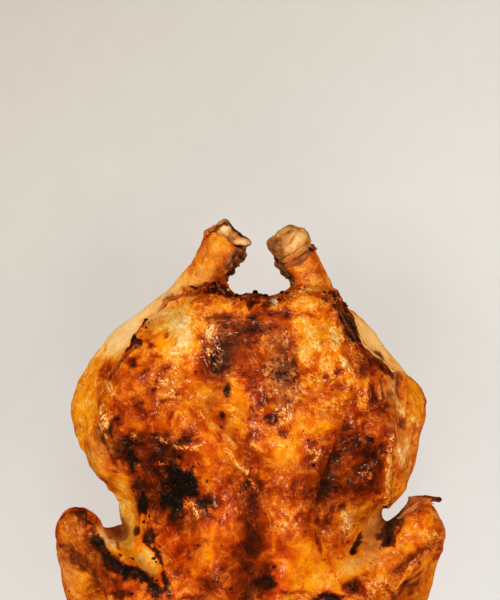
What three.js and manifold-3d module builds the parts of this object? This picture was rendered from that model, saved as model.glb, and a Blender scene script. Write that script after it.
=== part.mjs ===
// A whole charcoal-grilled chicken, lying on its breast with its back up.
// Millimetres, +Z up. The tail points along +Y and the neck along -Y, so +X is the side that a
// viewer above it, with the tail at the top, sees on the right.
// The flesh is one solid: a distance field of muscles, limbs and skin webs that melt into each
// other, cut into triangles by marching cubes, evened out and thinned. A shin bone with its
// knuckle runs up each drumstick and shows at the hock.

import * as THREE from 'three';
import { MarchingCubes } from 'three/addons/objects/MarchingCubes.js';
import { SimplifyModifier } from 'three/addons/modifiers/SimplifyModifier.js';
import { mergeVertices } from 'three/addons/utils/BufferGeometryUtils.js';
import Module from 'manifold-3d';

// Driving dimensions

const backHeight = 98; // the highest point of the back, above the surface it lies on
const halfBreast = 63.5; // from the middle to the flank, at the broadest rib
const breastSpread = 23; // from the keel to the middle of each breast half
const breastHeight = 37; // the level at which the breast is broadest
const tailEdge = 78; // how far the skin edge over the vent lies behind the middle
const neckEnd = -106; // the front of the neck stump
const breastMiddle = -40; // the deepest point of the breast, along the bird
const breastFlat = 2.5; // how deep the breast is pressed flat where the bird lies on it
const pressHeight = 20; // of the block that presses it, which is more than it takes away

// Each limb is a row of joints: its place, and the radius of the flesh round it.

const drumsticks = {
  left: [
    { at: [-60.5, 3, 46], radius: 21.5 },
    { at: [-61.5, 24, 46], radius: 25 },
    { at: [-52.5, 49, 52], radius: 18.5 },
    { at: [-29, 77, 61], radius: 10.5 },
    { at: [-21, 89, 65], radius: 9.8 },
    { at: [-12.5, 102.5, 69], radius: 11 },
  ],
  right: [
    { at: [62, 2, 46], radius: 21.5 },
    { at: [62.5, 20.5, 46], radius: 24.5 },
    { at: [48.5, 52, 54], radius: 16.5 },
    { at: [35, 74, 61], radius: 10.6 },
    { at: [28, 87, 65], radius: 9.8 },
    { at: [23, 96.5, 68], radius: 10.4 },
  ],
};

// Each thigh is three muscles: the rump over the hip, the outer thigh down to the knee, and the
// front of the thigh, whose edge reaches across the back almost to the middle.

const thighs = {
  left: [
    { centre: [-27, 46, 73], halfSizes: [23, 38, 21], yaw: -0.8, roll: -0.3 },
    { centre: [-48, 26, 64], halfSizes: [27, 40, 26], yaw: -0.45, pitch: 0.2, roll: -0.3 },
    { centre: [-37, 6, 68], halfSizes: [38, 22, 23], yaw: 0.15, roll: -0.32 },
  ],
  right: [
    { centre: [34, 48, 73], halfSizes: [20, 38, 21], yaw: 0.55, roll: 0.3 },
    { centre: [48, 20, 64], halfSizes: [24, 44, 26], yaw: 0.36, pitch: 0.2, roll: 0.3 },
    { centre: [37, 1, 68], halfSizes: [37, 24, 23], yaw: -0.2, roll: 0.32 },
  ],
};

const wings = {
  left: {
    upperArm: [
      { at: [-38, -74, 71], radius: 18.5 },
      { at: [-60, -56, 67], radius: 14.5 },
      { at: [-81.5, -35.5, 60], radius: 13 },
    ],
    forearm: [
      { at: [-81.5, -37, 58], radius: 12 },
      { at: [-79, -62, 48], radius: 12 },
      { at: [-71, -94, 34], radius: 10 },
    ],
    tip: [
      { at: [-70, -94, 34], radius: 9.5 },
      { at: [-70, -62, 38], radius: 8.5 },
      { at: [-70, -38, 43], radius: 6.5 },
    ],
    armpit: [[-36, -74, 60], [-64, -54, 52], [-54, -30, 48]],
  },
  right: {
    upperArm: [
      { at: [41, -74, 71], radius: 18.5 },
      { at: [62, -56, 67], radius: 14.5 },
      { at: [82, -36.5, 60], radius: 13 },
    ],
    forearm: [
      { at: [82, -37, 58], radius: 12 },
      { at: [78, -62, 48], radius: 11.5 },
      { at: [71, -93, 34], radius: 9.5 },
    ],
    tip: [
      { at: [70, -93, 34], radius: 9 },
      { at: [69, -64, 39], radius: 8.5 },
      { at: [67, -46, 44], radius: 6.5 },
    ],
    armpit: [[39, -74, 60], [66, -52, 52], [57, -30, 50]],
  },
};

// The end of the right wing's tip has dried to a thin flap. It comes up between the upper arm and
// the thigh and points outwards beyond the elbow.

const flapBottom = 52;
const flapThickness = 3;
const flapBevel = 0.8;
const flapOutline = [
  [60, -48],
  [65, -35],
  [69, -30.5],
  [76, -23.5],
  [79.5, -18],
  [85, -18.5],
  [92.5, -18.5],
  [90.5, -20.5],
  [86, -22.5],
  [80, -36],
  [72, -50],
];

const skinWeb = 4; // half the thickness of the skin stretched between upper arm and forearm
const armpitWeb = 6; // the same, of the skin between the upper arm and the flank

// The vent: the mouth of the body cavity, under the tail, and where it narrows inside.

const vent = [
  { at: [3, 96, 45], radius: 17 },
  { at: [3, 66, 46], radius: 15.5 },
  { at: [2, 32, 48], radius: 11 },
];

// Shin bones. The knuckle stands proud of the skin at the hock.

const boneRadius = 3.6;
const boneLength = 60;
const boneGap = 0.35; // room between a bone and the flesh round it
const knuckles = {
  left: { radius: 6.8, proud: 2.4, spread: 3.4 },
  right: { radius: 10, proud: 9.5, spread: 2.6 },
};

// Marching cubes: cells across the box, and the size of that box.

const cells = 84;
const boxMiddle = new THREE.Vector3(0, 2, 49);
const boxHalf = new THREE.Vector3(102, 120, 104);
const mostPolygons = 60000;
const eveningRounds = 3;
const keptVertices = 5350; // after thinning

const flesh = new THREE.MeshStandardMaterial({ color: 0xc4641c, roughness: 0.42, metalness: 0 });
const bone = new THREE.MeshStandardMaterial({ color: 0xcfa878, roughness: 0.55, metalness: 0 });

// Distances. Each function takes a point and gives how far outside the form it is.

const vector = ([x, y, z]) => new THREE.Vector3(x, y, z);

function limb(joints) {
  const stretches = joints.slice(1).map((joint, i) => ({
    axis: new THREE.Line3(vector(joints[i].at), vector(joint.at)),
    from: joints[i].radius,
    to: joint.radius,
  }));
  const nearest = new THREE.Vector3();
  return (point) =>
    Math.min(
      ...stretches.map(({ axis, from, to }) => {
        const along = axis.closestPointToPointParameter(point, true);
        return axis.at(along, nearest).distanceTo(point) - THREE.MathUtils.lerp(from, to, along);
      }),
    );
}

function muscle({ centre, halfSizes, yaw = 0, pitch = 0, roll = 0 }) {
  const middle = vector(centre);
  const half = vector(halfSizes);
  const turnBack = new THREE.Quaternion()
    .setFromEuler(new THREE.Euler(pitch, roll, yaw, 'ZXY'))
    .invert();
  const local = new THREE.Vector3();
  return (point) => {
    local.subVectors(point, middle).applyQuaternion(turnBack).divide(half);
    const reach = local.length();
    return (reach * (reach - 1)) / Math.max(local.divide(half).length(), 1e-6);
  };
}

function slab(centre, halfSizes, rounding, pitch) {
  const middle = vector(centre);
  const core = vector(halfSizes).subScalar(rounding);
  const turnBack = new THREE.Quaternion().setFromEuler(new THREE.Euler(pitch, 0, 0)).invert();
  const local = new THREE.Vector3();
  const outside = new THREE.Vector3();
  return (point) => {
    local.subVectors(point, middle).applyQuaternion(turnBack);
    local.set(Math.abs(local.x), Math.abs(local.y), Math.abs(local.z)).sub(core);
    outside.copy(local).clampScalar(0, Infinity);
    return outside.length() + Math.min(Math.max(local.x, local.y, local.z), 0) - rounding;
  };
}

function web(corners, halfThickness) {
  const skin = new THREE.Triangle(...corners.map(vector));
  const nearest = new THREE.Vector3();
  return (point) => skin.closestPointToPoint(point, nearest).distanceTo(point) - halfThickness;
}

// Joins two forms with a fillet of about that radius, and cuts one from the other likewise.

function melt(one, other, radius) {
  const near = Math.max(radius - Math.abs(one - other), 0) / radius;
  return Math.min(one, other) - (near * near * radius) / 4;
}

const carve = (form, hollow, radius) => -melt(-form, hollow, radius);

// The forms of the bird

const ribHeight = 55; // the level at which the rib cage is broadest
const ribs = muscle({ centre: [0, -34, ribHeight], halfSizes: [52, 76, backHeight - ribHeight] });
const breasts = [-1, 1].map((side) =>
  muscle({
    centre: [side * breastSpread, breastMiddle, breastHeight],
    halfSizes: [halfBreast - breastSpread, 64, breastHeight + breastFlat],
  }),
);
const spineGroove = limb([
  { at: [-1, -14, 105.5], radius: 8 },
  { at: [-2, -80, 101], radius: 9 },
]);
const keelGroove = limb([
  { at: [0, -92, 0], radius: 4 },
  { at: [0, 10, -2], radius: 5 },
]);
const hipLine = 36; // how far the hips lie behind the middle
const pelvis = slab([6, hipLine, 78], [33, tailEdge - hipLine, 16], 14, -0.05);
const belly = muscle({ centre: [2, 30, 48], halfSizes: [45, 50, 33] });
const tailStump = limb([
  { at: [2, 58, 82], radius: 12 },
  { at: [2, 71, 84], radius: 8.5 },
]);
const neck = limb([
  { at: [0, -84, 66], radius: 22 },
  { at: [1, neckEnd + 12, 62], radius: 13 },
]);
const neckSkin = muscle({ centre: [0, -86, 79], halfSizes: [34, 17, 11], pitch: -0.45 });
const cavity = limb(vent);

const thighForms = Object.values(thighs).flat().map(muscle);
const drumstickForms = Object.values(drumsticks).map(limb);
const wingForms = Object.values(wings).map(({ upperArm, forearm, tip, armpit }) => ({
  shoulder: muscle({ centre: upperArm[0].at, halfSizes: [22, 26, 22] }),
  upperArm: limb(upperArm),
  forearm: limb(forearm),
  tip: limb(tip),
  web: web([upperArm[0].at, upperArm.at(-1).at, forearm.at(-1).at], skinWeb),
  armpit: web(armpit, armpitWeb),
}));

function fleshDistance(point) {
  let body = ribs(point);
  for (const breast of breasts) body = melt(body, breast(point), 12);
  body = carve(body, keelGroove(point), 8);
  body = melt(body, melt(pelvis(point), belly(point), 16), 16);
  body = melt(body, neck(point), 14);
  body = melt(body, neckSkin(point), 8);
  body = melt(body, tailStump(point), 5);
  for (const thigh of thighForms) body = melt(body, thigh(point), 13);
  body = carve(body, spineGroove(point), 10);
  for (const drumstick of drumstickForms) body = melt(body, drumstick(point), 5);
  body = carve(body, cavity(point), 6);
  for (const wing of wingForms) {
    const arm = melt(wing.upperArm(point), wing.forearm(point), 6);
    const folded = melt(melt(arm, wing.web(point), 8), wing.tip(point), 5);
    body = melt(body, melt(wing.shoulder(point), folded, 8), 7);
    body = melt(body, wing.armpit(point), 7);
  }
  return body;
}

// Marching cubes on the field. Cell places run from -1 to 1 along each side of the box.

const boxToWorld = (point) => point.multiply(boxHalf).add(boxMiddle);

function triangulate(distance) {
  const cubes = new MarchingCubes(cells, undefined, false, false, mostPolygons);
  cubes.isolation = 0;
  const corner = new THREE.Vector3();
  const place = (i) => (2 * i) / cells - 1;
  for (let z = 0; z < cells; z++)
    for (let y = 0; y < cells; y++)
      for (let x = 0; x < cells; x++)
        cubes.setCell(x, y, z, -distance(boxToWorld(corner.set(place(x), place(y), place(z)))));
  cubes.update();
  const loose = new THREE.BufferGeometry();
  const positions = cubes.positionArray.slice(0, cubes.count * 3);
  loose.setAttribute('position', new THREE.BufferAttribute(positions, 3));
  const merged = mergeVertices(loose, 1e-5);
  const position = merged.getAttribute('position');
  for (let i = 0; i < position.count; i++) {
    boxToWorld(corner.fromBufferAttribute(position, i));
    position.setXYZ(i, ...corner);
  }
  return merged;
}

// Moves each vertex to the middle of its neighbours and back onto the surface, a few times,
// which turns the slivers that marching cubes leaves into even triangles.

function slopeAt(distance, point, step) {
  const slope = new THREE.Vector3();
  for (const axis of ['x', 'y', 'z']) {
    const ahead = point.clone();
    const behind = point.clone();
    ahead[axis] += step;
    behind[axis] -= step;
    slope[axis] = (distance(ahead) - distance(behind)) / (2 * step);
  }
  return slope;
}

function evenOut(geometry, distance, rounds) {
  const position = geometry.getAttribute('position');
  const neighbours = Array.from({ length: position.count }, () => new Set());
  const index = geometry.index.array;
  for (let i = 0; i < index.length; i += 3)
    for (let k = 0; k < 3; k++) {
      neighbours[index[i + k]].add(index[i + ((k + 1) % 3)]);
      neighbours[index[i + k]].add(index[i + ((k + 2) % 3)]);
    }
  const other = new THREE.Vector3();
  for (let round = 0; round < rounds; round++)
    neighbours.forEach((ring, i) => {
      const point = new THREE.Vector3();
      for (const j of ring) point.add(other.fromBufferAttribute(position, j));
      point.divideScalar(ring.size);
      const slope = slopeAt(distance, point, 0.2);
      point.addScaledVector(slope, -distance(point) / Math.max(slope.lengthSq(), 0.2));
      position.setXYZ(i, ...point);
    });
  return geometry;
}

function wingFlap() {
  const outline = new THREE.Shape(flapOutline.map(([x, y]) => new THREE.Vector2(x, y)));
  return new THREE.ExtrudeGeometry(outline, {
    depth: flapThickness,
    bevelThickness: flapBevel,
    bevelSize: flapBevel,
    bevelSegments: 2,
  }).translate(0, 0, flapBottom);
}

// A shin bone runs from the hock back along the last stretch of its drumstick.

function boneParts(side, room) {
  const { radius, proud, spread } = knuckles[side];
  const joints = drumsticks[side];
  const hock = joints.at(-1);
  const heading = vector(hock.at).sub(vector(joints.at(-2).at)).normalize();
  const end = hock.radius + proud - radius;
  const profile = [
    [0, -boneLength],
    [boneRadius * 0.8, -boneLength + 2],
    [boneRadius, -boneLength / 2],
    [boneRadius, -boneLength / 4],
    [radius * 0.8, -3],
    [radius * 0.9, end - 1],
    [radius * 0.7, end + radius * 0.45],
    [0, end + radius * 0.6],
  ].map(([across, along]) => new THREE.Vector2(across && across + room, along));
  const shaft = new THREE.LatheGeometry(profile, 14);
  const knobs = [-1, 1].map((way) =>
    new THREE.SphereGeometry(radius * 0.72 + room, 16, 10)
      .scale(1, 1.1, 1.25)
      .translate(way * spread, end, 0),
  );
  const turn = new THREE.Quaternion().setFromUnitVectors(new THREE.Vector3(0, 1, 0), heading);
  return [shaft, ...knobs].map((piece) => piece.applyQuaternion(turn).translate(...hock.at));
}

// Solids: joining and cutting with manifold-3d

const wasm = await Module();
wasm.setup();

function solid(geometry) {
  const bare = new THREE.BufferGeometry();
  bare.setAttribute('position', geometry.getAttribute('position'));
  bare.setIndex(geometry.index);
  const merged = mergeVertices(bare, 1e-3);
  const vertProperties = merged.getAttribute('position').array;
  return new wasm.Manifold(
    new wasm.Mesh({ numProp: 3, vertProperties, triVerts: new Uint32Array(merged.index.array) }),
  );
}

function geometryOf(manifold) {
  const { vertProperties, triVerts } = manifold.getMesh();
  const geometry = new THREE.BufferGeometry();
  geometry.setAttribute('position', new THREE.BufferAttribute(new Float32Array(vertProperties), 3));
  geometry.setIndex(new THREE.BufferAttribute(triVerts, 1));
  geometry.computeVertexNormals();
  return geometry;
}

const joined = (pieces) => pieces.map(solid).reduce((all, piece) => all.add(piece));

function named(name, manifold, material) {
  const mesh = new THREE.Mesh(geometryOf(manifold), material);
  mesh.name = name;
  return mesh;
}

const fine = evenOut(triangulate(fleshDistance), fleshDistance, eveningRounds);
fine.computeVertexNormals();
const spareVertices = fine.getAttribute('position').count - keptVertices;
const thinned = await new SimplifyModifier().modify(fine, spareVertices);
const underBreast = new THREE.BoxGeometry(halfBreast * 2, halfBreast * 2, pressHeight);
underBreast.translate(0, breastMiddle, breastFlat - pressHeight / 2);
let chicken = solid(thinned).subtract(solid(underBreast)).add(solid(wingFlap()));
const bones = ['left', 'right'].map((side) => {
  chicken = chicken.subtract(joined(boneParts(side, boneGap)));
  return named(`shin_bone_${side}`, joined(boneParts(side, 0)), bone);
});

const bird = new THREE.Group();
bird.add(named('chicken', chicken, flesh), ...bones);

// The origin is the middle of the underside of the whole bird.

const extent = new THREE.Box3().setFromObject(bird);
const centre = extent.getCenter(new THREE.Vector3());
bird.position.set(-centre.x, -centre.y, -extent.min.z);

export default bird;
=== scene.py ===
"""Dresses a whole charcoal-grilled chicken that lies on its breast with its back up."""

import math
import random
from typing import NamedTuple

import bmesh
import bpy
import numpy as np
from bpy.props import FloatProperty, FloatVectorProperty, IntProperty, PointerProperty
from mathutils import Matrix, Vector, noise
from mathutils.bvhtree import BVHTree


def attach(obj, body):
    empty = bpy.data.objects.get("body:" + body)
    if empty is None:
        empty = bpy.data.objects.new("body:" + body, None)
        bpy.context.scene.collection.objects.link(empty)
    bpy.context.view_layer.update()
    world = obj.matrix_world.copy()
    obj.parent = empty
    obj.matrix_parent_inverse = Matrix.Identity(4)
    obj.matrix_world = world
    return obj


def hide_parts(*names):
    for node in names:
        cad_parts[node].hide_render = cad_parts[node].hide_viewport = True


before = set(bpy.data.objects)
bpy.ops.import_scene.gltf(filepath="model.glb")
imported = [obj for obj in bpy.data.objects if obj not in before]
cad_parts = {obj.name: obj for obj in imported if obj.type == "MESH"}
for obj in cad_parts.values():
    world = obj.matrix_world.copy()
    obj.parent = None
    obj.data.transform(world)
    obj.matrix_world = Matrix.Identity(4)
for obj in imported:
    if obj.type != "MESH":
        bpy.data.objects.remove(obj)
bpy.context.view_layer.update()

bl_info = {
    "name": "Grilled Chicken Kit",
    "version": (1, 0, 0),
    "blender": (4, 5, 0),
    "location": "3D View > Sidebar > Grilled Chicken",
    "description": "Roasted skin, shin knuckles, loose skin and a studio for a whole grilled chicken",
    "category": "Object",
}

BODY = "root"
SKIN_SLOT = "roasted_skin"
BONE_SLOT = "bone"
MM = 0.001

# The bird's middle line, the surface under it and the point below the camera, in the frame
MIDDLE = Vector((-0.23, -1.55, -2.5)) * MM
CAMERA_POINT = Vector((0.5, 76.8, 1300)) * MM + MIDDLE

# Marks lie on the top view: a level plane through the thighs, seen from the camera's place.
# Their places and sizes are millimetres there, +X right and +Y towards the tail.
TOP_VIEW_LEVEL = 70 * MM + MIDDLE.z

# A mark is a soft patch: middle, half sizes and level, then turn in degrees and opacity, which are
# 0 and 1 where a row leaves them out. The levels tell how far each place is roasted:
# 0 pale, 0.3 golden, 0.5 orange-red, 0.75 brown, 1 black.
PLAIN_ROAST = 0.5
ROAST_MARKS = {
    "left drumstick": (
        ((-52.5, 68), (30, 6.5), 0.12, 38), ((-63, 56), (7.5, 4.5), 0.1, 25, 0.9),
        ((-25.5, 86.5), (6.5, 4), 0.3, 45, 0.8), ((-28.5, 80), (4.5, 2), 0.55, 30, 0.6),
    ),
    "right drumstick": (
        ((59.5, 58), (19, 4.5), 0.16, -47), ((44.5, 75), (3, 2.5), 0.34, -45, 0.8),
        ((71.5, 42), (4, 3.5), 0.28, -40, 0.9),
    ),
    "left knee": (
        ((-77.5, 31), (6, 22), 0.34, 3), ((-76.5, 44), (4.5, 5), 0.3, 0, 0.8),
        ((-71.5, 0), (7, 14.5), 0.33, -25), ((-65.5, -13), (7.5, 2), 0.5, -20, 0.9),
    ),
    "left rump": (
        ((-36, 64), (13.5, 14.5), 0.26, 30), ((-31.5, 60.5), (5, 9.5), 0.2, 15, 0.7),
        ((-40.5, 50.5), (13.5, 6.5), 0.3, 0, 0.9), ((-47.5, 61), (4.5, 6), 0.56, 0, 0.8),
        ((-38.5, 58.5), (2, 2), 0.55, 0, 0.8), ((-46.5, 55), (2, 1.5), 0.66, 0, 0.8),
        ((-53, 56), (2.5, 3), 0.97), ((-43.5, 45.5), (6.5, 2.5), 0.52, 0, 0.7),
        ((-34.5, 43.5), (2.5, 3), 0.52, 0, 0.7), ((-23, 59), (2.5, 12.5), 0.4, 0, 0.6),
    ),
    "left thigh": (
        ((-52.5, 41), (17.5, 8.5), 0.55, 10, 0.9), ((-58.5, 33.5), (7.5, 5.5), 0.44, 0, 0.8),
        ((-40.5, 34.5), (10.5, 6), 0.44, 20, 0.8), ((-47.5, 24), (16.5, 7.5), 0.64, -10, 0.9),
        ((-30.5, 26.5), (9.5, 6.5), 0.54, 0, 0.8), ((-66.5, 41), (4, 6.5), 0.68, -20, 0.9),
        ((-69.5, 28), (4, 10.5), 0.55, 0, 0.8), ((-57, 16.5), (14.5, 5), 0.66, 0, 0.8),
        ((-65, 19.5), (3.5, 2), 0.76, 20, 0.9), ((-54, 26.5), (2.5, 2), 0.72, 0, 0.9),
        ((-49, 41.5), (2, 2), 0.66, 0, 0.8), ((-69, 13.5), (4.5, 6), 0.62, 0, 0.8),
        ((-16.5, 9.5), (9.5, 11.5), 0.47, -50, 0.9), ((-18, -5), (6.5, 8.5), 0.52, -30, 0.9),
        ((-30.5, 11), (5, 3.5), 0.7, -20, 0.9), ((-30.5, 19), (4.5, 2.5), 0.6, 0, 0.7),
        ((-40.5, 15.5), (6, 4), 0.6, 0, 0.6), ((-52.5, 19), (6.5, 6), 0.5, 0, 0.3),
    ),
    # The front of the left thigh faces the neck: besides char and brown roast, its dark levels hold painted
    # shade
    "scorched front of the left thigh": (
        ((-57, 4), (13.5, 7), 0.76, -15), ((-47.5, 11), (6.5, 4), 0.77, 10),
        ((-40.5, 2.5), (9.5, 6), 0.78, -20), ((-60, 5.5), (2.5, 5), 0.84, 25, 0.9),
        ((-54, 2), (2, 6), 0.84, 35, 0.9), ((-40.5, 5), (4, 2.5), 0.8, 0, 0.9),
        ((-47.5, -3), (7.5, 3.5), 0.76, 0, 0.9), ((-56.5, -2), (4.5, 2.5), 0.82, -20, 0.8),
        ((-28.5, -1), (5, 5), 0.6, 0, 0.9), ((-55, -6), (4.5, 2), 0.6, 0, 0.8),
        ((-49.5, -15.5), (8.5, 8.5), 0.8), ((-33, -10.5), (10.5, 6), 0.99, -45),
        ((-38, -21.5), (6, 8), 0.98), ((-19.5, -20), (6, 3.5), 0.86), ((-34, -32), (6, 5), 0.78, 0, 0.9),
        ((-22.5, -28), (6, 5), 0.8, 0, 0.9), ((-46, -21.5), (2.5, 4), 0.74, 0, 0.8),
        ((-46.5, -5), (7.5, 4.5), 0.74), ((-54, -6), (6, 4), 0.66, 0, 0.9),
        ((-49.5, 9.5), (7.5, 3.5), 0.78), ((-61, 4), (5.5, 6), 0.76, 30, 0.9),
        ((-35.5, 3.5), (3.5, 5), 0.82), ((-52, -12.5), (4.5, 5), 0.8, 0, 0.9),
        ((-20.5, -29), (6, 4), 0.68, 0, 0.9), ((-39, -29), (4.5, 6), 0.93),
    ),
    "left flank": (
        ((-60, -29), (4, 17.5), 0.13), ((-49.5, -46.5), (6.5, 4.5), 0.08, -40),
        ((-45, -50.5), (4.5, 3), 0.2, -40, 0.9), ((-51, -21.5), (2.5, 5.5), 0.95, -18),
        ((-54, -33.5), (2, 2), 0.86), ((-47, -37), (3.5, 4.5), 0.96, 10),
        ((-49, -29), (3, 3), 0.52, 0, 0.9), ((-42.5, -30), (3, 5), 0.6, 0, 0.8),
        ((-54, -26), (2, 3), 0.62, 0, 0.8), ((-40.5, -62.5), (3.5, 2), 0.4, 0, 0.9),
        ((-58.5, -24), (4, 6), 0.22, 0, 0.4),
    ),
    "left of the back": (
        ((-18.5, -48), (21, 21), 0.62, 0, 0.8), ((-37, -44), (4.5, 13.5), 0.56, 8),
        ((-31, -41), (3, 10.5), 0.64, 8, 0.9), ((-28.5, -29), (5, 5), 0.72, 0, 0.8),
        ((-15, -34), (6.5, 6), 0.47, 0, 0.95), ((-17, -44), (5, 6.5), 0.42, -10, 0.9),
        ((-21, -54), (6.5, 4), 0.54, 0, 0.8), ((-25.5, -46), (3.5, 10.5), 0.6, 0, 0.8),
        ((-30, -58.5), (7.5, 5), 0.5, 0, 0.9), ((-34, -54), (2, 2), 0.74, 0, 0.9),
        ((-17, -59), (6, 3.5), 0.72, 0, 0.9), ((-11, -62.5), (6.5, 3), 0.66, 0, 0.8),
        ((-11, -17.5), (7.5, 6), 0.54, 0, 0.8), ((-6.5, -10.5), (6, 5), 0.56, 0, 0.8),
        ((-28.5, -66), (6.5, 2), 0.8, 0, 0.8), ((-35.5, -41), (4, 6.5), 0.5, 12, 0.25),
    ),
    "spine": (
        ((1.5, -19), (4.5, 13.5), 0.68), ((1.5, -33.5), (5, 10.5), 0.68), ((-2, -49), (8.5, 13.5), 0.67),
        ((-6.5, -54), (6, 6.5), 0.68, 0, 0.8), ((1.5, -62.5), (6.5, 5), 0.74, 0, 0.9),
        ((10, -48), (3, 8.5), 0.72, 0, 0.8), ((2, 36), (6.5, 6), 0.6, 0, 0.9),
        ((3, 29), (6.5, 5.5), 0.64, 0, 0.9), ((7, 29), (4, 3), 0.7, 0, 0.8),
        ((0.5, 17), (5, 6), 0.63, 0, 0.9), ((1.5, 11), (3, 2.5), 0.62, 0, 0.8),
        ((-5.5, 11.5), (4, 4), 0.4, 0, 0.9), ((-2.5, 0), (4.5, 6.5), 0.56, 0, 0.8),
    ),
    "tail": (
        ((-23.5, 77), (11.5, 4.5), 0.5, 0, 0.9), ((-35, 74.5), (7.5, 4), 0.34, 20, 0.8),
        ((-18, 77), (3, 2.5), 0.58, 0, 0.8), ((-13, 72.5), (6, 2), 0.3, 0, 0.9),
        ((-3, 72.5), (5, 2), 0.37, 0, 0.9), ((-27.5, 82.5), (5, 1.5), 0.72, 5), ((-17, 83), (4, 2.5), 0.76),
        ((-11, 80), (4, 2), 0.86, -20), ((-6, 78), (2.5, 1.5), 0.8, -20, 0.9),
        ((-4.5, 75.5), (3.5, 3), 0.58, 0, 0.9), ((1.5, 79), (6.5, 2.5), 0.7), ((1.5, 75), (3, 2), 0.86),
        ((8, 76), (3, 2.5), 0.7), ((21, 77), (6, 3.5), 0.6, 0, 0.9), ((27, 74), (6, 5), 0.4, 0, 0.9),
        ((34, 77), (5, 4), 0.48, 0, 0.8), ((38, 79), (4.5, 3), 0.7, 0, 0.9),
        ((16.5, 78.5), (3.5, 1.5), 0.78), ((12, 76), (2, 3), 0.05),
        ((-6.5, 68.5), (8.5, 1.5), 0.62, 0, 0.9), ((16.5, 69.5), (6.5, 2), 0.7),
        ((0.5, 69), (2.5, 1.5), 0.76), ((-16.5, 66), (4, 2), 0.73), ((10, 66), (6.5, 4), 0.5, 0, 0.9),
        ((-6, 65.5), (5, 2), 0.5, 0, 0.7),
    ),
    "brown patches over the hips": (
        ((-13.5, 52), (8.5, 15.5), 0.75), ((-12, 41.5), (6, 3.5), 0.8), ((-19, 60), (3, 7.5), 0.58, 0, 0.8),
        ((-1.5, 58.5), (8, 7.5), 0.74), ((3, 64), (2.5, 3), 0.8, 0, 0.9),
        ((0.5, 45), (7.5, 4.5), 0.66, 0, 0.9), ((4, 50.5), (5, 2.5), 0.66, 0, 0.9),
        ((16, 44), (6, 17.5), 0.74, 14), ((13.5, 39.5), (3, 4), 0.79),
        ((17.5, 54.5), (6.5, 4.5), 0.66, 0, 0.9), ((22.5, 44), (3.5, 7.5), 0.68, 0, 0.8),
        ((11, 56.5), (4.5, 4), 0.64, 0, 0.8), ((17.5, 31), (3.5, 6.5), 0.72, 0, 0.8),
        ((-6, 28), (2.5, 8), 0.19, 5, 0.9), ((18, 53), (4.5, 6.5), 0.6, 8, 0.5),
    ),
    "dark spots": (
        ((-39, 58.5), (1.5, 1), 0.8, 20, 0.9), ((-46.5, 55), (1.5, 1.5), 0.8, 0, 0.9),
        ((-56, 46), (1.5, 2), 0.82, 0, 0.9), ((-49.5, 42), (2, 1), 0.82, 30, 0.9),
        ((-45.5, 33.5), (1, 1), 0.74, 0, 0.9), ((-55, 29.5), (1.5, 1), 0.74, 0, 0.8),
        ((-53.5, 26), (2, 1.5), 0.78, -20, 0.9), ((-41.5, 29), (1, 1), 0.78, 0, 0.8),
        ((-64, 19.5), (2, 1.5), 0.88, 0, 0.9), ((-66.5, 16), (1.5, 2.5), 0.84, 10, 0.9),
        ((-30, 10), (2.5, 1.5), 0.84, 0, 0.9), ((-31.5, 49.5), (1.5, 1), 0.7, 0, 0.8),
        ((-44, 50.5), (2, 1), 0.72, 0, 0.8), ((-39, 44.5), (2.5, 1), 0.7, 20, 0.8),
        ((32.5, 49.5), (1, 1), 0.78, 0, 0.9), ((35.5, 56.5), (1, 1.5), 0.72, 0, 0.8),
        ((30.5, 47), (1.5, 1.5), 0.68, 0, 0.8), ((54, 21), (1.5, 1), 0.8, 0, 0.9),
        ((62, 27), (2.5, 2), 0.84, 0, 0.8), ((48, 22), (1, 1), 0.7, 0, 0.8),
        ((20, 69.5), (2.5, 1.5), 0.84, 0, 0.9), ((1, 69), (2.5, 1.5), 0.82, 0, 0.8),
        ((48.5, 6), (1, 1), 0.8, 0, 0.8), ((-21, -23), (2, 1.5), 0.84, 0, 0.8),
    ),
    "yellow dip": (
        ((-18, 31), (8, 7.5), 0.42), ((-7, 26.5), (5, 12), 0.26, 5), ((-9.5, 33.5), (1.5, 2), 0.84, -20),
        ((-21, 28), (6, 2), 0.5, -10, 0.8), ((-12, 22), (1.5, 1), 0.8, -20),
        ((-16, 23.5), (3, 2), 0.22, 0, 0.7),
    ),
    "right rump": (
        ((28.5, 69), (6.5, 11.5), 0.32), ((17.5, 61.5), (6, 4), 0.6, 0, 0.8),
        ((39, 59.5), (6.5, 6), 0.31, 0, 0.9), ((30, 51.5), (7, 6.5), 0.28, -30),
        ((36, 56), (2.5, 2.5), 0.5, 0, 0.8), ((44.5, 54), (4, 3.5), 0.46, 0, 0.8),
        ((36.5, 45), (7, 6), 0.36, 0, 0.9), ((43, 42.5), (2, 4), 0.62, 0, 0.8),
        ((36.5, 40.5), (2, 2), 0.6, 0, 0.8), ((30, 42), (2, 3), 0.6, -20, 0.8),
        ((33, 49.5), (1.5, 1.5), 0.46, 0, 0.8), ((36.5, 68), (4, 6), 0.44, 0, 0.8),
        ((41.5, 71), (3, 6), 0.62, 0, 0.8), ((48.5, 57.5), (3.5, 4), 0.5, -30, 0.7),
        ((34, 53), (6, 6.5), 0.24, 0, 0.3),
    ),
    "right thigh": (
        ((34, 31), (14.5, 6.5), 0.48, 0, 0.9), ((49.5, 36), (7.5, 6.5), 0.5, 0, 0.9),
        ((46, 27), (6.5, 5), 0.58, 0, 0.8), ((30, 28), (6.5, 2), 0.6, 10, 0.9),
        ((20.5, 24.5), (4, 2.5), 0.62, 0, 0.8), ((29.5, 18.5), (9, 6), 0.36),
        ((24.5, 11), (7.5, 4.5), 0.4, 0, 0.9), ((18, 4), (10.5, 7), 0.34), ((6, 2.5), (4, 6), 0.5, 0, 0.8),
        ((6, 15.5), (3, 4), 0.4, 0, 0.8), ((11, 19), (4, 3.5), 0.84, -20), ((15.5, 13.5), (3.5, 2.5), 0.79),
        ((12.5, -6), (3, 2), 0.68, -20), ((18, 6), (1.5, 1.5), 0.54, 0, 0.9),
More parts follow.
